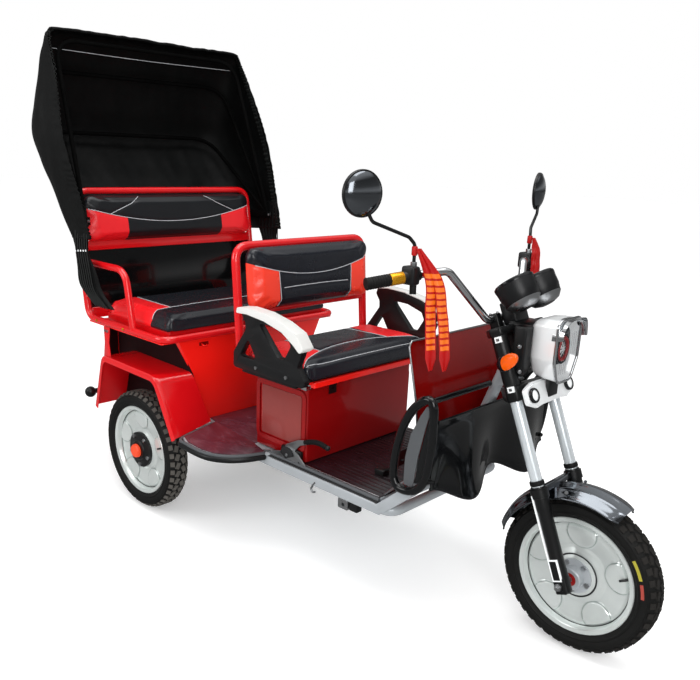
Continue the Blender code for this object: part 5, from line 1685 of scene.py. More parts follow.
@dataclass
class SmallPieces:
    """Handbrake, brake pedal, tail lamps, rear bumper and battery."""

    def build(self) -> None:
        """Make all of them."""
        brake = Piece("handbrake_lever", PLATED)
        plate = [(0.49, 0.339), (0.74, 0.339), (0.728, 0.354), (0.69, 0.385), (0.64, 0.396), (0.612, 0.37)]
        bores = ((0.556, 0.347, 0.004), (0.596, 0.35, 0.004), (0.7, 0.352, 0.005))
        holes = [[(x + u, z + v) for u, v in circle(r, 16)] for x, z, r in bores]
        brake.plate(smooth_outline(plate, 0.006, 4), -0.2715, -0.2685, "y", edge=0.0008, holes=holes)
        brake.block((0.612, 0.705), (-0.268, -0.256), (0.3523, 0.39), SATIN_BLACK, edge=0.003)
        teeth = [(0.03 + 0.0022 * (i % 2), radians(10 + 7 * i)) for i in range(24)]
        sector = [(0.646 + r * cos(t), 0.362 + r * sin(t)) for r, t in teeth]
        brake.plate([(0.64, 0.352), *sector], -0.275, -0.2718, "y", IRON_AND_GROOVE_SHADE, edge=0.0006)
        brake.rod((0.646, -0.277, 0.366), (0.646, -0.26, 0.366), 0.0055, PLATED, sides=20, edge=0.001)
        arm = [(0.63, 0.396), (0.64, 0.372), (0.662, 0.372), (0.7, 0.412), (0.745, 0.43), (0.74, 0.442), (0.69, 0.428)]
        brake.plate(smooth_outline(arm, 0.008, 4), -0.2682, -0.2652, "y", edge=0.0008)
        grip = spline([(0.722, -0.267, 0.43), (0.76, -0.267, 0.442), (0.79, -0.267, 0.445), (0.822, -0.267, 0.44)], 8)
        brake.tube(grip, 0.0074, GRIP_RUBBER, sides=24)
        for k in range(2, len(grip) - 2, 2):
            brake.rod(grip[k], grip[k].lerp(grip[k + 1], 0.55), 0.0088, GRIP_RUBBER, sides=24, edge=0.0008)
        brake.ball(grip[-1], (0.0085, 0.0085, 0.0085), ABS, segments=20)
        brake.done("chassis", "handbrake")
        pedal = Piece("brake_pedal_arm", SATIN_BLACK)
        pedal.block((0.912, 0.948), (-0.146, -0.114), (0.3523, 0.37), edge=0.002)
        pedal.tube([(0.93, -0.13, 0.362), (0.985, -0.13, 0.392), (1.005, -0.13, 0.425)], 0.006, bend=0.02, sides=16)
        pedal.block((0.998, 1.005), (-0.165, -0.095), (0.405, 0.455), edge=0.002)
        for i in range(6):
            z = 0.41 + 0.008 * i
            pedal.block((0.996, 0.999), (-0.1635, -0.0965), (z, z + 0.0035), GRIP_RUBBER, edge=0.0006)
        pedal.done("chassis", "brake_pedal")
        tail = Piece("tail_lamps", ABS)
        tail.block((-0.3423, -0.3303), (-0.285, 0.285), (0.56, 0.61), edge=0.002)
        for side in (-1, 1):
            y = side * 0.235
            tail.block((-0.3683, -0.341), near(y, 0.048), (0.553, 0.617), edge=0.006, segments=3)
            tail.block((-0.369, -0.36), (y - 0.044, y + 0.006), (0.558, 0.612), RED_LENS, edge=0.003)
            tail.block((-0.369, -0.36), (y + 0.008, y + 0.044), (0.558, 0.612), AMBER, edge=0.003)
        tail.done("chassis", "tail_lamp_bar")
        bumper = Piece("rear_bumper_tube", SATIN_BLACK)
        bumper.rod((-0.364, -0.395, 0.361), (-0.364, 0.395, 0.361), 0.01, sides=28)
        for side in (-1, 1):
            bumper.ball((-0.364, side * 0.412, 0.361), (0.022, 0.022, 0.022), segments=28)
            y = side * 0.24
            bumper.block((-0.368, -0.3453), near(y, 0.01), (0.311, 0.361), edge=0.002)
        bumper.done("chassis", "rear_bumper")
        box = Piece("battery_cells", BATTERY)
        for i in range(4):
            y = -0.2 + 0.1 * i
            box.block((-0.09, 0.13), (y + 0.001, y + 0.099), (0.3411, 0.499), edge=0.004)
            box.block((-0.08, 0.12), (y + 0.006, y + 0.094), (0.498, 0.511), ABS, edge=0.004)
        box.done("chassis", "battery_pack")


@dataclass
class Fork:
    """Fork crown in black, chrome stanchions, black sliders with clips and reflectors."""

    def build(self) -> None:
        """Make the crown and both legs."""
        crown = Piece("fork_crown_casting", SATIN_BLACK)
        outline = both([(-0.024, -0.04), (0.04, -0.118), (0.074, -0.118)])
        crown.plate(smooth_outline(outline, 0.012, 5), 0.235, 0.2745, "z", edge=0.004)
        upper = both([(-0.024, -0.04), (0.036, -0.116), (0.072, -0.116)])
        crown.plate(smooth_outline(upper, 0.012, 5), 0.4142, 0.4378, "z", edge=0.005)
        for vert in crown.bm.verts:
            vert.co = STEER_TURN @ vert.co
        crown.rod(steer(0.245), steer(0.428), 0.0184, sides=32)
        crown.rod(steer(0.436), steer(0.45), 0.013, PLATED, sides=6, edge=0.001)
        for side in (-1, 1):
            y = side * FORK_HALF
            crown.rod(steer(0.27, FORK_OFFSET, y), steer(0.42, FORK_OFFSET, y), 0.0218, sides=36, edge=0.002)
            crown.steer_block((0.43, 0.478), (-0.0003, 0.0308), near(side * 0.04, 0.012), edge=0.005)
            for f in (0.004, 0.027):
                crown.rod(steer(0.474, f, side * 0.04), steer(0.4815, f, side * 0.04), 0.0035, PLATED, sides=12)
        crown.done("steering", "fork_crown")
        for side, name in SIDES:
            y = side * FORK_HALF
            leg = Piece(f"fork_{name}_tubes", SATIN_BLACK)
            leg.rod(steer(-0.03, FORK_OFFSET, y), steer(0.2344, FORK_OFFSET, y), 0.016, STANCHION, sides=40)
            leg.lathe([(0, -0.2927), (0.0165, -0.2927), (0.0205, -0.286), (0.0205, -0.25), (0.0195, -0.242),
                (0.0195, -0.07), (0.0208, -0.064), (0.0208, -0.03), (0.0244, -0.029), (0.0244, -0.005),
                (0.0205, -0.004), (0.02, 0), (0.0152, 0)], steer(0, FORK_OFFSET, y), STEER_UP, steps=40)
            leg.rod(steer(0.003, FORK_OFFSET, y), steer(0.017, FORK_OFFSET, y), 0.0195, GRIP_RUBBER, sides=36,
                edge=0.003)
            leg.steer_block((-0.292, -0.248), near(FORK_OFFSET, 0.016), sorted((y - side * 0.01, y + side * 0.0208)),
                edge=0.004)
            leg.rod((WHEELBASE, y + side * 0.019, TYRE_RADIUS), (WHEELBASE, y + side * 0.029, TYRE_RADIUS), 0.0105,
                PLATED, sides=6, edge=0.001)
            leg.rod((WHEELBASE, y + side * 0.028, TYRE_RADIUS), (WHEELBASE, y + side * 0.036, TYRE_RADIUS), 0.006,
                PLATED, sides=20, edge=0.001)
            for ss, ff, skin, out in (((-0.2, -0.02), (-0.015, -0.0105), REFLECTOR, 0.0216),
                    ((-0.256, -0.196), (-0.015, 0.012), REFLECTOR, 0.0214), ((-0.252, -0.2), (-0.011, 0.0085),
                    SATIN_BLACK, 0.0222)):
                leg.steer_block(ss, (FORK_OFFSET + ff[0], FORK_OFFSET + ff[1]),
                    sorted((y + side * 0.015, y + side * out)), skin, edge=0.0008)
            if side > 0:
                leg.rod((WHEELBASE, y, TYRE_RADIUS), (WHEELBASE, -FORK_HALF + 0.0213, TYRE_RADIUS), 0.0068, PLATED,
                    sides=24)
            leg.done("steering", f"fork_leg_{name}")


@dataclass
class Controls:
    """Handlebar, rubber grips, switch housings and mirrors."""
    grip_root: Vector = field(default_factory=lambda: Vector((1.12, 0.265, 1.012)))
    grip_way: Vector = field(default_factory=lambda: Vector((-0.061, 0.135, -0.021)).normalized())

    def build(self) -> None:
        """Make the bar and both sides."""
        centre = steer(0.463, 0.0153)
        half = [(centre.x, 0.078, centre.z), (1.158, 0.188, 1.02), tuple(self.grip_root - self.grip_way * 0.02),
            tuple(self.grip_root - self.grip_way * 0.004)]
        whole = [(x, -y, z) for x, y, z in reversed(half)] + half
        bar = Piece("handlebar_tube", CHROME)
        bar.tube(whole, 0.0108, bend=0.03, sides=28)
        bar.done("steering", "handlebar")
        for side, name in SIDES:
            self.grip(side, name)
            self.mirror(side, name)

    def grip(self, side: int, name: str) -> None:
        """Ribbed grip, gold sleeve and switch housing.

        Args:
            side: -1 right, 1 left.
            name: the side's word.
        """
        flip_y = Vector((1, side, 1))
        root, way = self.grip_root, self.grip_way
        piece = Piece(f"grip_{name}_rubber", GRIP_RUBBER)
        rods = [(0.045, 0.148, 0.015, GRIP_RUBBER, 36, 0.003)]
        rods += [(0.086 + 0.0072 * i, 0.0902 + 0.0072 * i, 0.0162, GRIP_RUBBER, 36, 0.001) for i in range(8)]
        rods += [(0.144, 0.15, 0.0165, GRIP_RUBBER, 36, 0.002), (-0.0035, 0.05, 0.015, ABS, 36, 0.002),
            (0.0445, 0.082, 0.0163, GOLD_RING, 40, 0.001)]
        for start, end, radius, skin, sides, edge in rods:
            piece.rod((root + way * start) * flip_y, (root + way * end) * flip_y, radius, skin, sides, edge)
        mid = root + way * 0.023
        ys = span(side, mid.y - 0.016, mid.y + 0.016)
        piece.block(near(mid.x, 0.021), ys, (mid.z - 0.022, mid.z + 0.026), ABS, edge=0.007, segments=4)
        piece.block((mid.x - 0.0225, mid.x - 0.019), span(side, mid.y - 0.008, mid.y + 0.002),
            (mid.z - 0.006, mid.z + 0.01), RED_CAP, edge=0.0015)
        piece.block((mid.x - 0.0225, mid.x - 0.019), span(side, mid.y + 0.005, mid.y + 0.013), (mid.z - 0.012, mid.z),
            REFLECTOR, edge=0.0012)
        piece.rod((mid + Vector((0.01, 0, -0.01))) * flip_y, (mid + Vector((0.014, 0.004, -0.045))) * flip_y, 0.009,
            sides=24, edge=0.002)
        piece.done("steering", f"grip_{name}")

    def mirror(self, side: int, name: str) -> None:
        """Bent stalk, convex chrome back, black rim and the glass.

        Args:
            side: -1 right, 1 left.
            name: the side's word.
        """
        stalk = [(1.117, side * 0.284, 1.03), (1.117, side * 0.284, 1.09), (1.108, side * 0.298, 1.108),
            (1.068, side * 0.397, 1.146), (1.06, side * 0.412, 1.176), (1.056, side * 0.418, 1.196)]
        piece = Piece(f"mirror_{name}_back", CHROME)
        piece.tube(stalk, 0.0046, SATIN_BLACK, bend=0.02, sides=20)
        piece.rod(stalk[0], (1.117, side * 0.284, 1.046), 0.0085, PLATED, sides=6, edge=0.001)
        facing = Vector((cos(radians(15)), side * sin(radians(15)), 0))
        centre = Vector((1.054, side * 0.42, 1.213))
        # The convex back is darkened chrome: painted dark reflection.
        piece.lathe([(0, 0.0168), (0.012, 0.0163), (0.022, 0.0148), (0.032, 0.0125), (0.042, 0.009), (0.05, 0.0045),
            (0.0545, -0.0005)], centre, facing, DARKENED_CHROME, steps=48)
        piece.lathe([(0.053, 0.0015), (0.056, 0.001), (0.0575, -0.002), (0.0575, -0.0066), (0.056, -0.007),
            (0.0525, -0.0066), (0.0525, -0.004)], centre, facing, ABS, steps=48)
        piece.lathe([(0.053, -0.0052), (0, -0.0052)], centre, facing, MIRROR_GLASS, steps=48)
        piece.ball(tuple(centre - facing * 0.004 + Vector((0, 0, -0.016))), (0.008, 0.008, 0.01), SATIN_BLACK,
            segments=20)
        piece.done("steering", f"mirror_{name}", sharp=40)


@dataclass
class Lights:
    """Headlamp with visor, lamp plate with two round lamps, gauge pods and turn signals."""

    def shield(self, grow: float, x: float) -> Row:
        """Outline of the lamp, wide above and narrow below, at one place along it.

        Args:
            grow: size of the outline, 1 at the front rim.
            x: its place.

        Returns:
            The outline.
        """
        corners = [(-0.037, 0.744), (0.037, 0.744), (0.063, 0.805), (0.063, 0.902), (0.048, 0.9155), (-0.048, 0.9155),
            (-0.063, 0.902), (-0.063, 0.805)]
        return [Vector((x, y * grow, 0.835 + (z - 0.835) * grow)) for y, z in smooth_outline(corners, 0.03, 8)]

    def build(self) -> None:
        """Make all the lights."""
        # Shell in the near-white plate: painted highlight on its chrome.
        lamp = Piece("headlamp_shell", CHROME_PAINTED_HIGHLIGHT)
        lamp.grid([self.shield(grow, x) for x, grow in ((1.338, 0.6), (1.343, 0.8), (1.356, 0.92), (1.385, 0.97),
            (1.4215, 0.985), (1.4225, 0.97), (1.4215, 0.95), (1.412, 0.9), (1.4, 0.76), (1.392, 0.4))], CHROME_PAINTED_HIGHLIGHT,
            wrap=True, caps=True)
        lamp.sweep(self.shield(0.985, 1.422), circle(0.0042, 14), CHROME, up=(1, 0, 0), closed=True)
        visor = []
        for k in range(7):
            row = []
            for i in range(33):
                a = radians(8 + 164 * i / 32)
                flare = 1 + 0.05 * (k / 6) ** 2
                y = 0.064 * copysign(abs(cos(a)) ** 0.55, cos(a)) * flare
                z = 0.838 + 0.0775 * sin(a) ** 0.6 * flare
                dip = 0.006 * sin(pi * i / 32 * 2 + 0.5) * k / 6
                row.append(Vector((1.408 + 0.033 * k / 6, y, z + dip)))
            visor.append(row)
        lamp.grid(visor, CHROME, wall=0.0016)
        plate = smooth_outline([(-0.05, 0.21), (0.05, 0.21), (0.08, 0.206), (0.124, 0.222), (0.124, 0.262),
            (0.08, 0.276), (-0.08, 0.276), (-0.124, 0.262), (-0.124, 0.222), (-0.08, 0.206)], 0.012, 5)
        # Lamp plate in the near-white plate: painted highlight.
        for depth, skin, shrink in ((0.0935, CHROME_PAINTED_HIGHLIGHT, 1), (0.0985, CHROME_PAINTED_HIGHLIGHT, 0.86)):
            ring = [[steer(0.241 + (s - 0.241) * shrink, depth + d, y * (0.5 + shrink / 2)) for y,
                s in plate] for d in (0, 0.005)]
            lamp.grid(ring, skin, wrap=True, caps=True)
        lamp.steer_block((0.232, 0.268), (0.0743, 0.096), (-0.03, 0.03), SATIN_BLACK, edge=0.002)
        lamp.block((1.385, 1.4), (-0.022, 0.022), (0.7, 0.76), SATIN_BLACK, edge=0.002)
        lamp.block((1.262, 1.345), (-0.046, 0.046), (0.77, 0.89), SATIN_BLACK, edge=0.01)
        for side in (-1, 1):
            y = side * 0.093
            ys = span(side, 0.05, 0.09)
            lamp.block((1.312, 1.349), ys, (0.755, 0.89), SATIN_BLACK, edge=0.006)
            for x, z in ((1.33, 0.838), (1.338, 0.772)):
                lamp.rod((x, side * 0.089, z), (x + 0.01, side * 0.1, z), 0.0052, PLATED, sides=16, edge=0.001)
            lamp.lathe([(0, 0), (0.016, 0), (0.02, 0.003), (0.0205, 0.011), (0.019, 0.0135), (0.015, 0.0135),
                (0.0145, 0.0105)], steer(0.241, 0.0985, y), STEER_FRONT, GLOSS_ABS, steps=40)
            lamp.lathe([(0.0148, 0.0108), (0.01, 0.014), (0, 0.015)], steer(0.241, 0.0985, y), STEER_FRONT, REFLECTOR,
                steps=40)
        face = Vector((0.7, -0.7, 0.1)).normalized()
        key = Vector((1.296, -0.04, 0.862))
        lamp.rod(key, key + face * 0.01, 0.015, GLOSS_ABS, sides=28, edge=0.002)
        lamp.rod(key + face * 0.0095, key + face * 0.0125, 0.0105, RED_CAP, sides=28, edge=0.001)
        lamp.done("steering", "headlamp", sharp=40)
        lens = Piece("headlamp_lens", GLASS)
        lens.grid([self.shield(0.95, 1.4225), self.shield(0.95, 1.425), self.shield(0.9, 1.4275)], GLASS, wrap=True,
            caps=True)
        for i in range(9):
            y = -0.04 + 0.01 * i
            lens.block((1.427, 1.4282), near(y, 0.001), (0.77, 0.88))
        lens.done("steering")
        bowl = Piece("headlamp_bulb", RED_CAP)
        dark = [(-0.044, 0.79), (0.034, 0.79), (0.04, 0.812), (0.04, 0.872), (0.03, 0.886), (-0.036, 0.886),
            (-0.046, 0.872), (-0.046, 0.812)]
        bowl.plate(smooth_outline(dark, 0.012, 5), 1.403, 1.406, "x", GLOSS_ABS, edge=0.001)
        for size, thick, skin in ((1, 0.0046, RED_CAP), (1.28, 0.003, SATIN_BLACK)):
            ring = [Vector((1.413, -0.006 + 0.0235 * size * cos(pi * i / 24), 0.834 + 0.03 * size * sin(pi * i / 24)))
                for i in range(48)]
            bowl.sweep(ring, circle(thick, 14), skin, up=(1, 0, 0), closed=True)
        # Bulb in the same near-white plate: painted highlight.
        bowl.ball((1.406, -0.006, 0.834), (0.009, 0.0195, 0.026), CHROME_PAINTED_HIGHLIGHT, segments=32)
        for turn in range(4):
            c, n = cos(pi * turn / 4), sin(pi * turn / 4)
            bowl.rod((1.4135, -0.006 - 0.016 * c, 0.834 - 0.021 * n), (1.4135, -0.006 + 0.016 * c, 0.834 + 0.021 * n),
                0.0014, SATIN_BLACK, sides=8)
        bowl.done("steering")
        self.pods()
        self.signals()

    def pods(self) -> None:
        """Bracket and two round gauge pods with their glasses."""
        piece = Piece("gauge_pod_shells", ABS)
        piece.steer_block((0.4385, 0.5), (0.034, 0.075), (-0.034, 0.034), edge=0.004)
        facing = Vector((-0.62, 0, 0.79)).normalized()
        for side in (-1, 1):
            at = steer(0.517, 0.114, side * 0.055)
            piece.lathe([(0, -0.052), (0.02, -0.051), (0.036, -0.045), (0.047, -0.032), (0.0525, -0.01),
                (0.0535, 0.008), (0.0548, 0.02), (0.0545, 0.0255), (0.0522, 0.0297), (0.0485, 0.0297), (0.0478, 0.024)],
                at, facing, ABS, steps=56)
            piece.lathe([(0.0482, 0.0245), (0, 0.0245)], at, facing, DIAL, steps=48)
            piece.lathe([(0.0205, -0.0517), (0.0366, -0.0457), (0.0477, -0.0323), (0.0483, -0.031)], at, facing, PLATED,
                steps=56)
            piece.lathe([(0.0552, 0.0195), (0.0556, 0.024), (0.055, 0.027)], at, facing, GLOSS_ABS, steps=56)
        piece.rod(steer(0.49, 0.034, 0), steer(0.512, 0.04, 0), 0.011, SATIN_BLACK, sides=24, edge=0.002)
        piece.rod(steer(0.511, 0.04, 0), steer(0.5145, 0.041, 0), 0.0065, RED_CAP, sides=20, edge=0.001)
        piece.done("steering", "gauge_pods", sharp=40)

    def signals(self) -> None:
        """Bar and two oval turn signals with black backs."""
        piece = Piece("turn_signal_lenses", AMBER)
        piece.rod((1.3281, -0.135, 0.797), (1.3281, 0.135, 0.797), 0.0055, SATIN_BLACK, sides=20)
        for side in (-1, 1):
            turn = Matrix.Rotation(side * 0.3, 4, "Z") @ Matrix.Rotation(-0.65, 4, "Y")
            piece.ball((1.34, side * 0.153, 0.806), (0.04, 0.015, 0.019), AMBER, segments=40, turn=turn)
            piece.ball((1.327, side * 0.146, 0.798), (0.023, 0.018, 0.021), GLOSS_ABS, segments=32, turn=turn)
        piece.done("steering", "turn_signals", sharp=45)
        marks = Piece("fork_reflectors", REFLECTOR)
        for s in ((0.397, 0.413), (0.261, 0.277)):
            for side in (-1, 1):
                marks.steer_block(s, (0.049, 0.069), span(side, 0.114, 0.1205), edge=0.0015)
                marks.steer_block((s[0] + 0.004, s[1] - 0.004), (0.054, 0.064), span(side, 0.12, 0.121), PLATED,
                    edge=0.0006)
        marks.done("steering")


@dataclass
class FrontFender:
    """Chrome front fender with pressed ribs, rolled edges and its bridge."""

    def build(self) -> None:
        """Make the fender."""
        # Darkened chrome: painted dark reflection over the fender.
        piece = Piece("front_fender_chrome", DARKENED_CHROME)
        rows = []
        for i in range(73):
            t = i / 72
            a = radians(63.5 + 100.5 * t)
            row = []
            tail = max(0, (t - 0.86) / 0.14)
            nose = max(0, (0.08 - t) / 0.08)
            for j in range(49):
                across = -1 + 2 * j / 48
                rib = 0.0022 * (exp(-((abs(across) - 0.52) / 0.09) ** 2) + 1.2 * exp(-(across / 0.14) ** 2))
                rim = 0.0018 * exp(-((1 - abs(across)) / 0.05) ** 2)
                radius = 0.2548 - 0.03 * across ** 2 + rib + rim
                wide = 0.06 * (1 - 0.25 * nose ** 2) * (1 - 0.22 * tail ** 2)
                row.append(Vector((WHEELBASE + radius * cos(a), wide * across, TYRE_RADIUS + radius * sin(a))))
            rows.append(row)
        piece.grid(rows, wall=0.002)
        for j in (0, -1):
            piece.tube([r[j] for r in rows], 0.0026, sides=10)
        piece.steer_block((-0.022, -0.004), (0.0405, 0.059), (-0.069, 0.069), edge=0.003)
        piece.done("steering", "front_fender", sharp=50)
        stays = []
        for side in (-1, 1):
            for deg in (100, 118):
                a = radians(deg)
                stays.append(Spot(Vector((WHEELBASE + 0.244 * cos(a), side * 0.054, TYRE_RADIUS + 0.244 * sin(a))),
                    Vector((0, side, 0.2))))
        stamp("front_fender_bolts", Stamp.HEX_BOLT, stays, (0.01, 0.01, 0.004), PLATED, "steering", 40)


@dataclass
class Wheel:
    """Pressed steel wheel with five round pressings, a hub and a block-tread tyre.

    Attributes:
        label: front, rear_left or rear_right.
        x: place along the length.
        y: place across.
        out: direction of the dish, -1 right or 1 left.
    """
    label: str
    x: float
    y: float
    out: int

    def point(self, r: float, a: float, d: float = 0.0) -> Vector:
        """Point at a radius and an angle round the wheel, d out of its middle plane."""
        return Vector((self.x + r * cos(a), self.y + self.out * d, TYRE_RADIUS + r * sin(a)))

    def body(self) -> str:
        """The CAD body of this wheel."""
        return "front_wheel" if self.label == "front" else f"rear_wheel_{self.label[5:]}"

    def tyre(self) -> None:
        """Carcass with a rounded shoulder, sidewall rings, tread blocks and side patches."""
        w, lip = TYRE_WIDTH / 2, 0.1674
        half = [(lip, w - 0.01), (lip + 0.006, w - 0.0062), (lip + 0.01, w - 0.004), (lip + 0.012, w - 0.0012),
            (lip + 0.015, w - 0.001), (lip + 0.017, w - 0.0024), (0.188, w - 0.0004), (0.196, w - 0.0002),
            (0.203, w - 0.0018), (0.2045, w - 0.0006), (0.206, w - 0.003), (0.212, w - 0.0095), (0.2165, w - 0.015),
            (0.219, w - 0.026), (0.22, 0)]
        profile = half + [(r, -a) for r, a in reversed(half[:-1])]
        piece = Piece(f"tyre_{self.label}_carcass", TYRE)
        piece.lathe(profile, (self.x, self.y, TYRE_RADIUS), (0, self.out, 0), TYRE, steps=128)
        piece.done(self.body(), f"tyre_{self.label}", sharp=35)
        tread = TREAD if self.label == "front" else DUSTY_TREAD
        spots = []
        for count, row, turn in ((44, -0.0115, 0), (44, 0.0115, 0.5)):
            for i in range(count):
                a = 2 * pi * (i + turn) / count
                outward = Vector((cos(a), 0, sin(a)))
                tangent = Vector((-sin(a), 0, cos(a)))
                slant = (tangent + Vector((0, 0.45 if row < 0 else -0.45, 0))).normalized()
                spots.append(Spot(Vector((self.x, self.y + row, TYRE_RADIUS)) + outward * 0.2194, outward, slant))
        stamp(f"tyre_{self.label}_tread", Stamp.BLOCK, spots, (0.0235, 0.015, 0.0052), tread, self.body(), 30)
        spots = []
        for i in range(44):
            for side in (-1, 1):
                a = 2 * pi * (i + (0.25 if side < 0 else 0.75)) / 44
                out = Vector((cos(a), 0, sin(a)))
                tangent = Vector((-sin(a), 0, cos(a)))
                facing = (out * 0.8 + Vector((0, side * 0.6, 0))).normalized()
                spots.append(Spot(Vector((self.x, self.y + side * 0.03, TYRE_RADIUS)) + out * 0.214, facing, tangent))
        stamp(f"tyre_{self.label}_shoulder_blocks", Stamp.BLOCK, spots, (0.017, 0.015, 0.0042), tread, self.body(), 30)
        if self.label == "front":
            marks = Piece("tyre_front_side_patches", TYRE_YELLOW)
            for start, span, finish in ((21, 16, TYRE_YELLOW), (6, 12, TYRE_RED)):
                rows = []
                for r in (0.1875, 0.196):
                    rows.append([self.point(r, radians(start + span * i / 14), w + 0.0002) for i in range(15)])
                marks.grid(rows, finish, wall=0.0005)
            marks.done(self.body())

    def rim(self) -> None:
        """Rim, dished disc with five round pressings, hub, nuts and cap."""
        front = self.label == "front"
        w = TYRE_WIDTH / 2
        hub_r, hub_half, bore, flange = (0.04, 0.058, 0.0075, 0.009) if front else (0.046, 0.04, 0.0205, 0.021)
        face = [(hub_r + 0.006, 0.027), (hub_r + 0.012, 0.0255), (0.075, 0.012), (0.085, 0.0092), (0.128, 0.015),
            (0.14, 0.015), (0.148, 0.012), (0.152, w - 0.013), (0.155, w - 0.0095), (0.162, w - 0.008),
            (0.1655, w - 0.0075), (0.1672, w - 0.01), (0.167, w - 0.0125)]
        lip = [(r, -d) for r, d in reversed(face[-6:])]
        back = lip + [(0.149, 0), (0.128, 0.0115), (0.085, 0.006), (0.075, 0.0085), (hub_r + 0.008, 0.018)]
        steps = 180
        loop = face + back
        piece = Piece(f"wheel_{self.label}_disc", ZINC)
        dense_rows = self.finer(loop, steps)
        piece.grid(dense_rows, ZINC, wrap=True, ring=True)
        hub = SATIN_BLACK if not front else GREY_STEEL
        centre = Vector((self.x, self.y, TYRE_RADIUS))
        piece.lathe([(bore, hub_half - 0.001), (hub_r - 0.012, hub_half - 0.001), (hub_r - 0.009, hub_half - 0.004),
            (hub_r - 0.008, 0.034), (hub_r, 0.031), (hub_r + flange, 0.029), (hub_r + flange, 0.018), (hub_r, 0.015),
            (hub_r - 0.002, -hub_half + 0.004), (hub_r - 0.005, -hub_half + 0.001), (bore, -hub_half + 0.001)], centre,
            (0, self.out, 0), hub, steps=64)
        if not front:
            piece.lathe([(0, 0.0578), (0.014, 0.0572), (0.022, 0.0545), (0.025, 0.05), (0.0256, 0.0405), (0.02, 0.036)],
                centre, (0, self.out, 0), ORANGE_CAP, steps=40)
        else:
            piece.lathe([(0.0085, 0.0576), (0.0185, 0.0572), (0.02, 0.056)], centre, (0, self.out, 0), RED_CAP,
                steps=40)
        # Two dark rings in the disc, near the rim and near the hub, in the casting black: painted shade in the grooves.
        for r, d in ((0.149, 0.0148), (0.061, 0.023)):
            piece.lathe([(r - 0.0022, d), (r, d + 0.0012), (r + 0.0022, d)], centre, (0, self.out, 0), IRON_AND_GROOVE_SHADE, steps=120)
        # A thin dark line round each pressing inside the disc edge: painted shade at its step.
        for m in range(5):
            c = radians(90 + 72 * m)
            arc = []
            for i in range(61):
                a = 2 * pi * i / 60
                u = 0.124 * cos(c) + 0.042 * cos(a + c + pi)
                v = 0.124 * sin(c) + 0.042 * sin(a + c + pi)
                r = hypot(u, v)
                if r < 0.145 and i > 0:
                    out = 0.0092 + 0.0058 * min(1, max(0, (r - 0.085) / 0.043)) + 0.0034
                    arc.append(centre + Vector((u, self.out * out, v)))
            start = max(range(len(arc)), key=lambda k: (arc[k] - arc[k - 1]).length)
            arc = arc[start:] + arc[:start]
            piece.tube(arc, 0.0011, PRESSING_SHADE_LINE, sides=8, up=(0, 1, 0))
        piece.done(self.body(), f"wheel_{self.label}", sharp=35)
        spots = []
        for i in range(5):
            a = radians(54 + 72 * i)
            nut = 0.001 if front else 0.01
            spots.append(Spot(self.point(hub_r + nut, a, 0.0305), (0, self.out, 0)))
        stamp(f"wheel_{self.label}_nuts", Stamp.HEX_BOLT, spots, (0.015, 0.015, 0.0085), PLATED, self.body(), 35)
        valve = Piece(f"wheel_{self.label}_valve", SATIN_BLACK)
        a = radians(18)
        valve.rod(self.point(0.148, a, 0.018), self.point(0.128, a, 0.032), 0.0034, sides=16, edge=0.001)
        valve.done(self.body())

    def finer(self, loop: Outline, steps: int) -> list[Row]:
        """Disc surface with enough rings over the round pressings.

        Args:
            loop: profile as (radius, distance out).
            steps: points round the wheel.

        Returns:
            Rings along the profile, each round the wheel.
        """
        fine = []
        for (r0, d0), (r1, d1) in zip(loop, list(loop[1:]) + [loop[0]]):
            count = max(1, round(abs(r1 - r0) / 0.0022)) if max(r0, r1) < 0.146 and min(r0, r1) > 0.058 else 1
            for i in range(count):
                fine.append((r0 + (r1 - r0) * i / count, d0 + (d1 - d0) * i / count))
        rows = []
        for r, d in fine:
            ring = []
            for i in range(steps):
                a = 2 * pi * i / steps
                lift = 0
                if 0.06 < r < 0.146:
                    for m in range(5):
                        c = radians(90 + 72 * m)
                        away = hypot(r * cos(a) - 0.124 * cos(c), r * sin(a) - 0.124 * sin(c))
                        lift += 0.0065 / (1 + exp((away - 0.042) / 0.0009))
                ring.append(self.point(r, a, d + lift))
            rows.append(ring)
        return rows + [rows[0]]

    def build(self) -> None:
        """Make the tyre and the wheel."""
        self.tyre()
        self.rim()


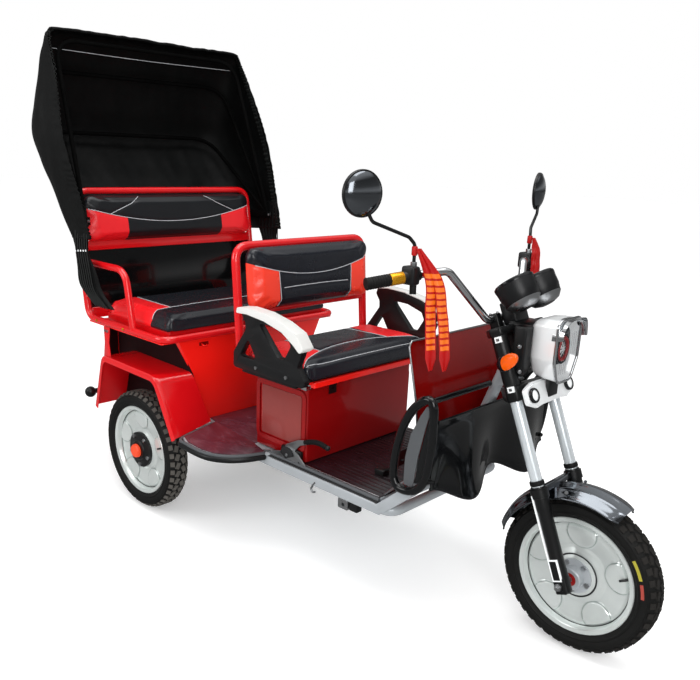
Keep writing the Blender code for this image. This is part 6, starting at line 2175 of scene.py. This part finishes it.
@dataclass
class Ribbons:
    """Plain red satin ribbons with gold bands, tied to the bar and to the left mirror."""

    def tail(self, name: str, points: Sequence[Triple], width: float, across: Triple) -> None:
        """One hanging ribbon tail with a gentle twist and gold bands.

        Args:
            name: its name.
            points: its middle line.
            width: its width.
            across: direction across the ribbon at its top.
        """
        line = spline(points, 14)
        piece = Piece(name, SATIN_RIBBON)
        way = Vector(across).normalized()
        out = Vector((way.y, -way.x, 0)) * (1 if way.y > 0 else -1)
        out = out if out.x > 0 else -out
        rows = []
        for k, p in enumerate(line):
            t = k / (len(line) - 1)
            narrow = min(1, 0.3 + t * 3.2, 0.35 + (1 - t) * 6)
            ripple = 0.0016 * sin(t * 24)
            rows.append([p + way * (u * width / 2 * narrow) + out * (0.005 * cos(u * 2.4 + t * 2) + ripple)
                for u in [-1 + i / 6 for i in range(13)]])
        piece.grid(rows, wall=0.0004)
        bits = Piece(name + "_gold_bands", GOLD_PRINT)
        for k in range(len(rows) // 5, len(rows) * 4 // 5 if width > 0.025 else 0, 3):
            strip = [[a.lerp(b, s) for a, b in zip(rows[k], rows[k + 2])][1:12] for s in (0, 0.5, 1)]
            bits.grid([[p + out * 0.0007 for p in row] for row in strip], wall=0.0002)
        ribbon = piece.done("steering", sharp=70)
        if width > 0.025:
            bits.done("steering", sharp=70)

    def build(self) -> None:
        """Make the knots and the tails."""
        knots = Piece("ribbon_knots", SATIN_RIBBON)
        for side in (-1, 1):
            knots.rod((1.117, side * 0.284, 1.062), (1.117, side * 0.284, 1.086), 0.0078, sides=28, edge=0.003)
        knots.done("steering", sharp=70)
        way = Vector((0.717, 0.697, 0))
        tails = {"inner": (0, 0.038, 0.044, 0.05, 0.055), "outer": (0.004, 0.056, 0.074, 0.086, 0.092)}
        for side, name, drop in ((-1, "right", 0.08), (1, "left", 0.036)):
            for word, offsets in tails.items():
                top = Vector((1.126, side * 0.284, 1.082)) + Vector((0.697, -0.717, 0)) * 0.004 * len(word[:3 + side])
                share = 1 if side < 0 else 0.22
                points = [tuple(top + way * across * share - Vector((0, 0, drop * k))) for k,
                    across in enumerate(offsets)]
                self.tail(f"ribbon_{name}_{word}_tail", points, 0.029 if side < 0 else 0.022, tuple(way))


@dataclass
class Studio:
    """Pale floor, white surroundings, soft lights and the photo's camera."""
    location: Triple = (1.7751, -1.8331, 1.2974)
    yaw: float = radians(134.18)
    pitch: float = radians(-16.9)
    roll: float = 0.036
    lens: float = 38.9
    shift: tuple[float, float] = (0.0385, 0.0654)

    def floor(self) -> None:
        """Plain pale floor that fades into the white surroundings."""
        bm = bmesh.new()
        bmesh.ops.create_grid(bm, x_segments=1, y_segments=1, size=30)
        mesh = bpy.data.meshes.new("studio_floor")
        bm.to_mesh(mesh)
        bm.free()
        paper = bpy.data.materials.new("white_paper_floor")
        paper.use_nodes = True
        tree = paper.node_tree
        tree.nodes.clear()
        grain = add(tree, "ShaderNodeTexNoise", {"Vector": add(tree, "ShaderNodeTexCoord").outputs["Object"],
            "Scale": 3})
        tone = add(tree, "ShaderNodeMapRange", {"Value": grain.outputs["Fac"], "To Min": 0.93, "To Max": 0.95})
        seen = add(tree, "ShaderNodeLightPath")
        dimmed = add(tree, "ShaderNodeMath", (seen.outputs["Is Glossy Ray"], 0.84), operation="MULTIPLY")
        plain = add(tree, "ShaderNodeMath", (1, dimmed), operation="SUBTRACT")
        level = add(tree, "ShaderNodeMath", (tone, plain), operation="MULTIPLY")
        colour = add(tree, "ShaderNodeCombineColor", {i: level for i in range(3)})
        glow = add(tree, "ShaderNodeMath", (plain, 0.27), operation="MULTIPLY")
        shader = add(tree, "ShaderNodeBsdfPrincipled", {"Base Color": colour.outputs["Color"], "Roughness": 0.8,
            "Specular IOR Level": 0.1, "Emission Strength": glow})
        shader.inputs["Emission Color"].default_value = (1, 1, 1, 1)
        add(tree, "ShaderNodeOutputMaterial", {"Surface": shader.outputs["BSDF"]})
        mesh.materials.append(paper)
        obj = bpy.data.objects.new("studio_floor", mesh)
        bpy.context.scene.collection.objects.link(obj)

    def surroundings(self) -> None:
        """White for the camera, a bright sky with darker bands for the reflections."""
        world = bpy.data.worlds.new("studio")
        bpy.context.scene.world = world
        world.use_nodes = True
        tree = world.node_tree
        tree.nodes.clear()
        up = add(tree, "ShaderNodeSeparateXYZ", {"Vector": add(tree, "ShaderNodeTexCoord").outputs["Generated"]})
        ramp = add(tree, "ShaderNodeValToRGB",
            {"Fac": add(tree, "ShaderNodeMath", (up.outputs["Z"], 0.5), operation="MULTIPLY_ADD")})
        ramp.inputs["Fac"].default_value = 0.5
        stops = ramp.color_ramp.elements
        stops[0].position, stops[0].color = 0.3, (0.1, 0.1, 0.1, 1)
        stops[1].position, stops[1].color = 0.97, (1, 1, 1, 1)
        for place, tone in ((0.49, 0.06), (0.53, 0.62), (0.6, 0.16), (0.74, 0.1), (0.82, 0.7)):
            stop = stops.new(place)
            stop.color = (tone, tone, tone, 1)
        mirror = add(tree, "ShaderNodeBackground", {"Color": ramp.outputs["Color"], "Strength": 0.9})
        soft = add(tree, "ShaderNodeBackground", {"Color": (1, 1, 1, 1), "Strength": 0.8})
        white = add(tree, "ShaderNodeBackground", {"Color": (1, 1, 1, 1), "Strength": 1})
        seen = add(tree, "ShaderNodeLightPath")
        lit = add(tree, "ShaderNodeMixShader", {0: seen.outputs["Is Glossy Ray"], 1: soft.outputs["Background"],
            2: mirror.outputs["Background"]})
        mix = add(tree, "ShaderNodeMixShader", {0: seen.outputs["Is Camera Ray"], 1: lit.outputs["Shader"],
            2: white.outputs["Background"]})
        add(tree, "ShaderNodeOutputWorld", {"Surface": mix.outputs["Shader"]})

    def lamp(self, name: str, at: Triple, aim: Triple, size: tuple[float, float], power: float) -> None:
        """Large soft area lamp.

        Args:
            name: its name.
            at: its place.
            aim: the point that it faces.
            size: width and height.
            power: watts.
        """
        data = bpy.data.lights.new(name, "AREA")
        data.shape = "RECTANGLE"
        data.size, data.size_y = size
        data.energy = power
        obj = bpy.data.objects.new(name, data)
        obj.location = at
        obj.rotation_euler = (Vector(aim) - Vector(at)).to_track_quat("-Z", "Y").to_euler()
        bpy.context.scene.collection.objects.link(obj)

    def camera(self) -> None:
        """Camera at the photo's place."""
        cam = bpy.data.cameras.new("photo_camera")
        cam.sensor_width = 36
        cam.lens = self.lens
        cam.shift_x, cam.shift_y = self.shift
        cam.clip_end = 200
        obj = bpy.data.objects.new("photo_camera", cam)
        forward = Vector((cos(self.yaw) * cos(self.pitch), sin(self.yaw) * cos(self.pitch), sin(self.pitch)))
        right = forward.cross(Vector((0, 0, 1))).normalized()
        up = right.cross(forward)
        c, s = cos(self.roll), sin(self.roll)
        turned = Matrix((right * c + up * s, up * c - right * s, -forward)).transposed()
        obj.matrix_world = Matrix.Translation(self.location) @ turned.to_4x4()
        bpy.context.scene.collection.objects.link(obj)
        bpy.context.scene.camera = obj
        bpy.context.scene.view_settings.view_transform = "Standard"

    def build(self) -> None:
        """Make the whole studio."""
        self.floor()
        self.surroundings()
        self.lamp("overhead_softbox", (0.2, -0.3, 4.2), (0.1, 0, 0.6), (3.6, 2.6), 84)
        self.lamp("front_softbox", (3.4, -2.6, 2.4), (0.2, 0, 0.7), (1.8, 2.2), 60)
        self.lamp("side_softbox", (-1.8, -3.6, 2.2), (-0.4, 0, 0.8), (2.2, 1.6), 36)
        self.camera()


def main() -> None:
    """Dress the whole vehicle."""
    logging.basicConfig(level=logging.INFO, format="%(message)s")
    SeatPads().build()
    Chassis().build()
    Boxes().build()
    RearSeat().build()
    FrontSeat().build()
    Hood().build()
    FrontEnd().build()
    RunningGear().build()
    SmallPieces().build()
    Fork().build()
    Controls().build()
    Lights().build()
    FrontFender().build()
    Wheel("front", WHEELBASE, 0, -1).build()
    Wheel("rear_right", 0, -HALF_TRACK, -1).build()
    Wheel("rear_left", 0, HALF_TRACK, 1).build()
    Ribbons().build()
    Studio().build()


if __name__ == "__main__":
    main()
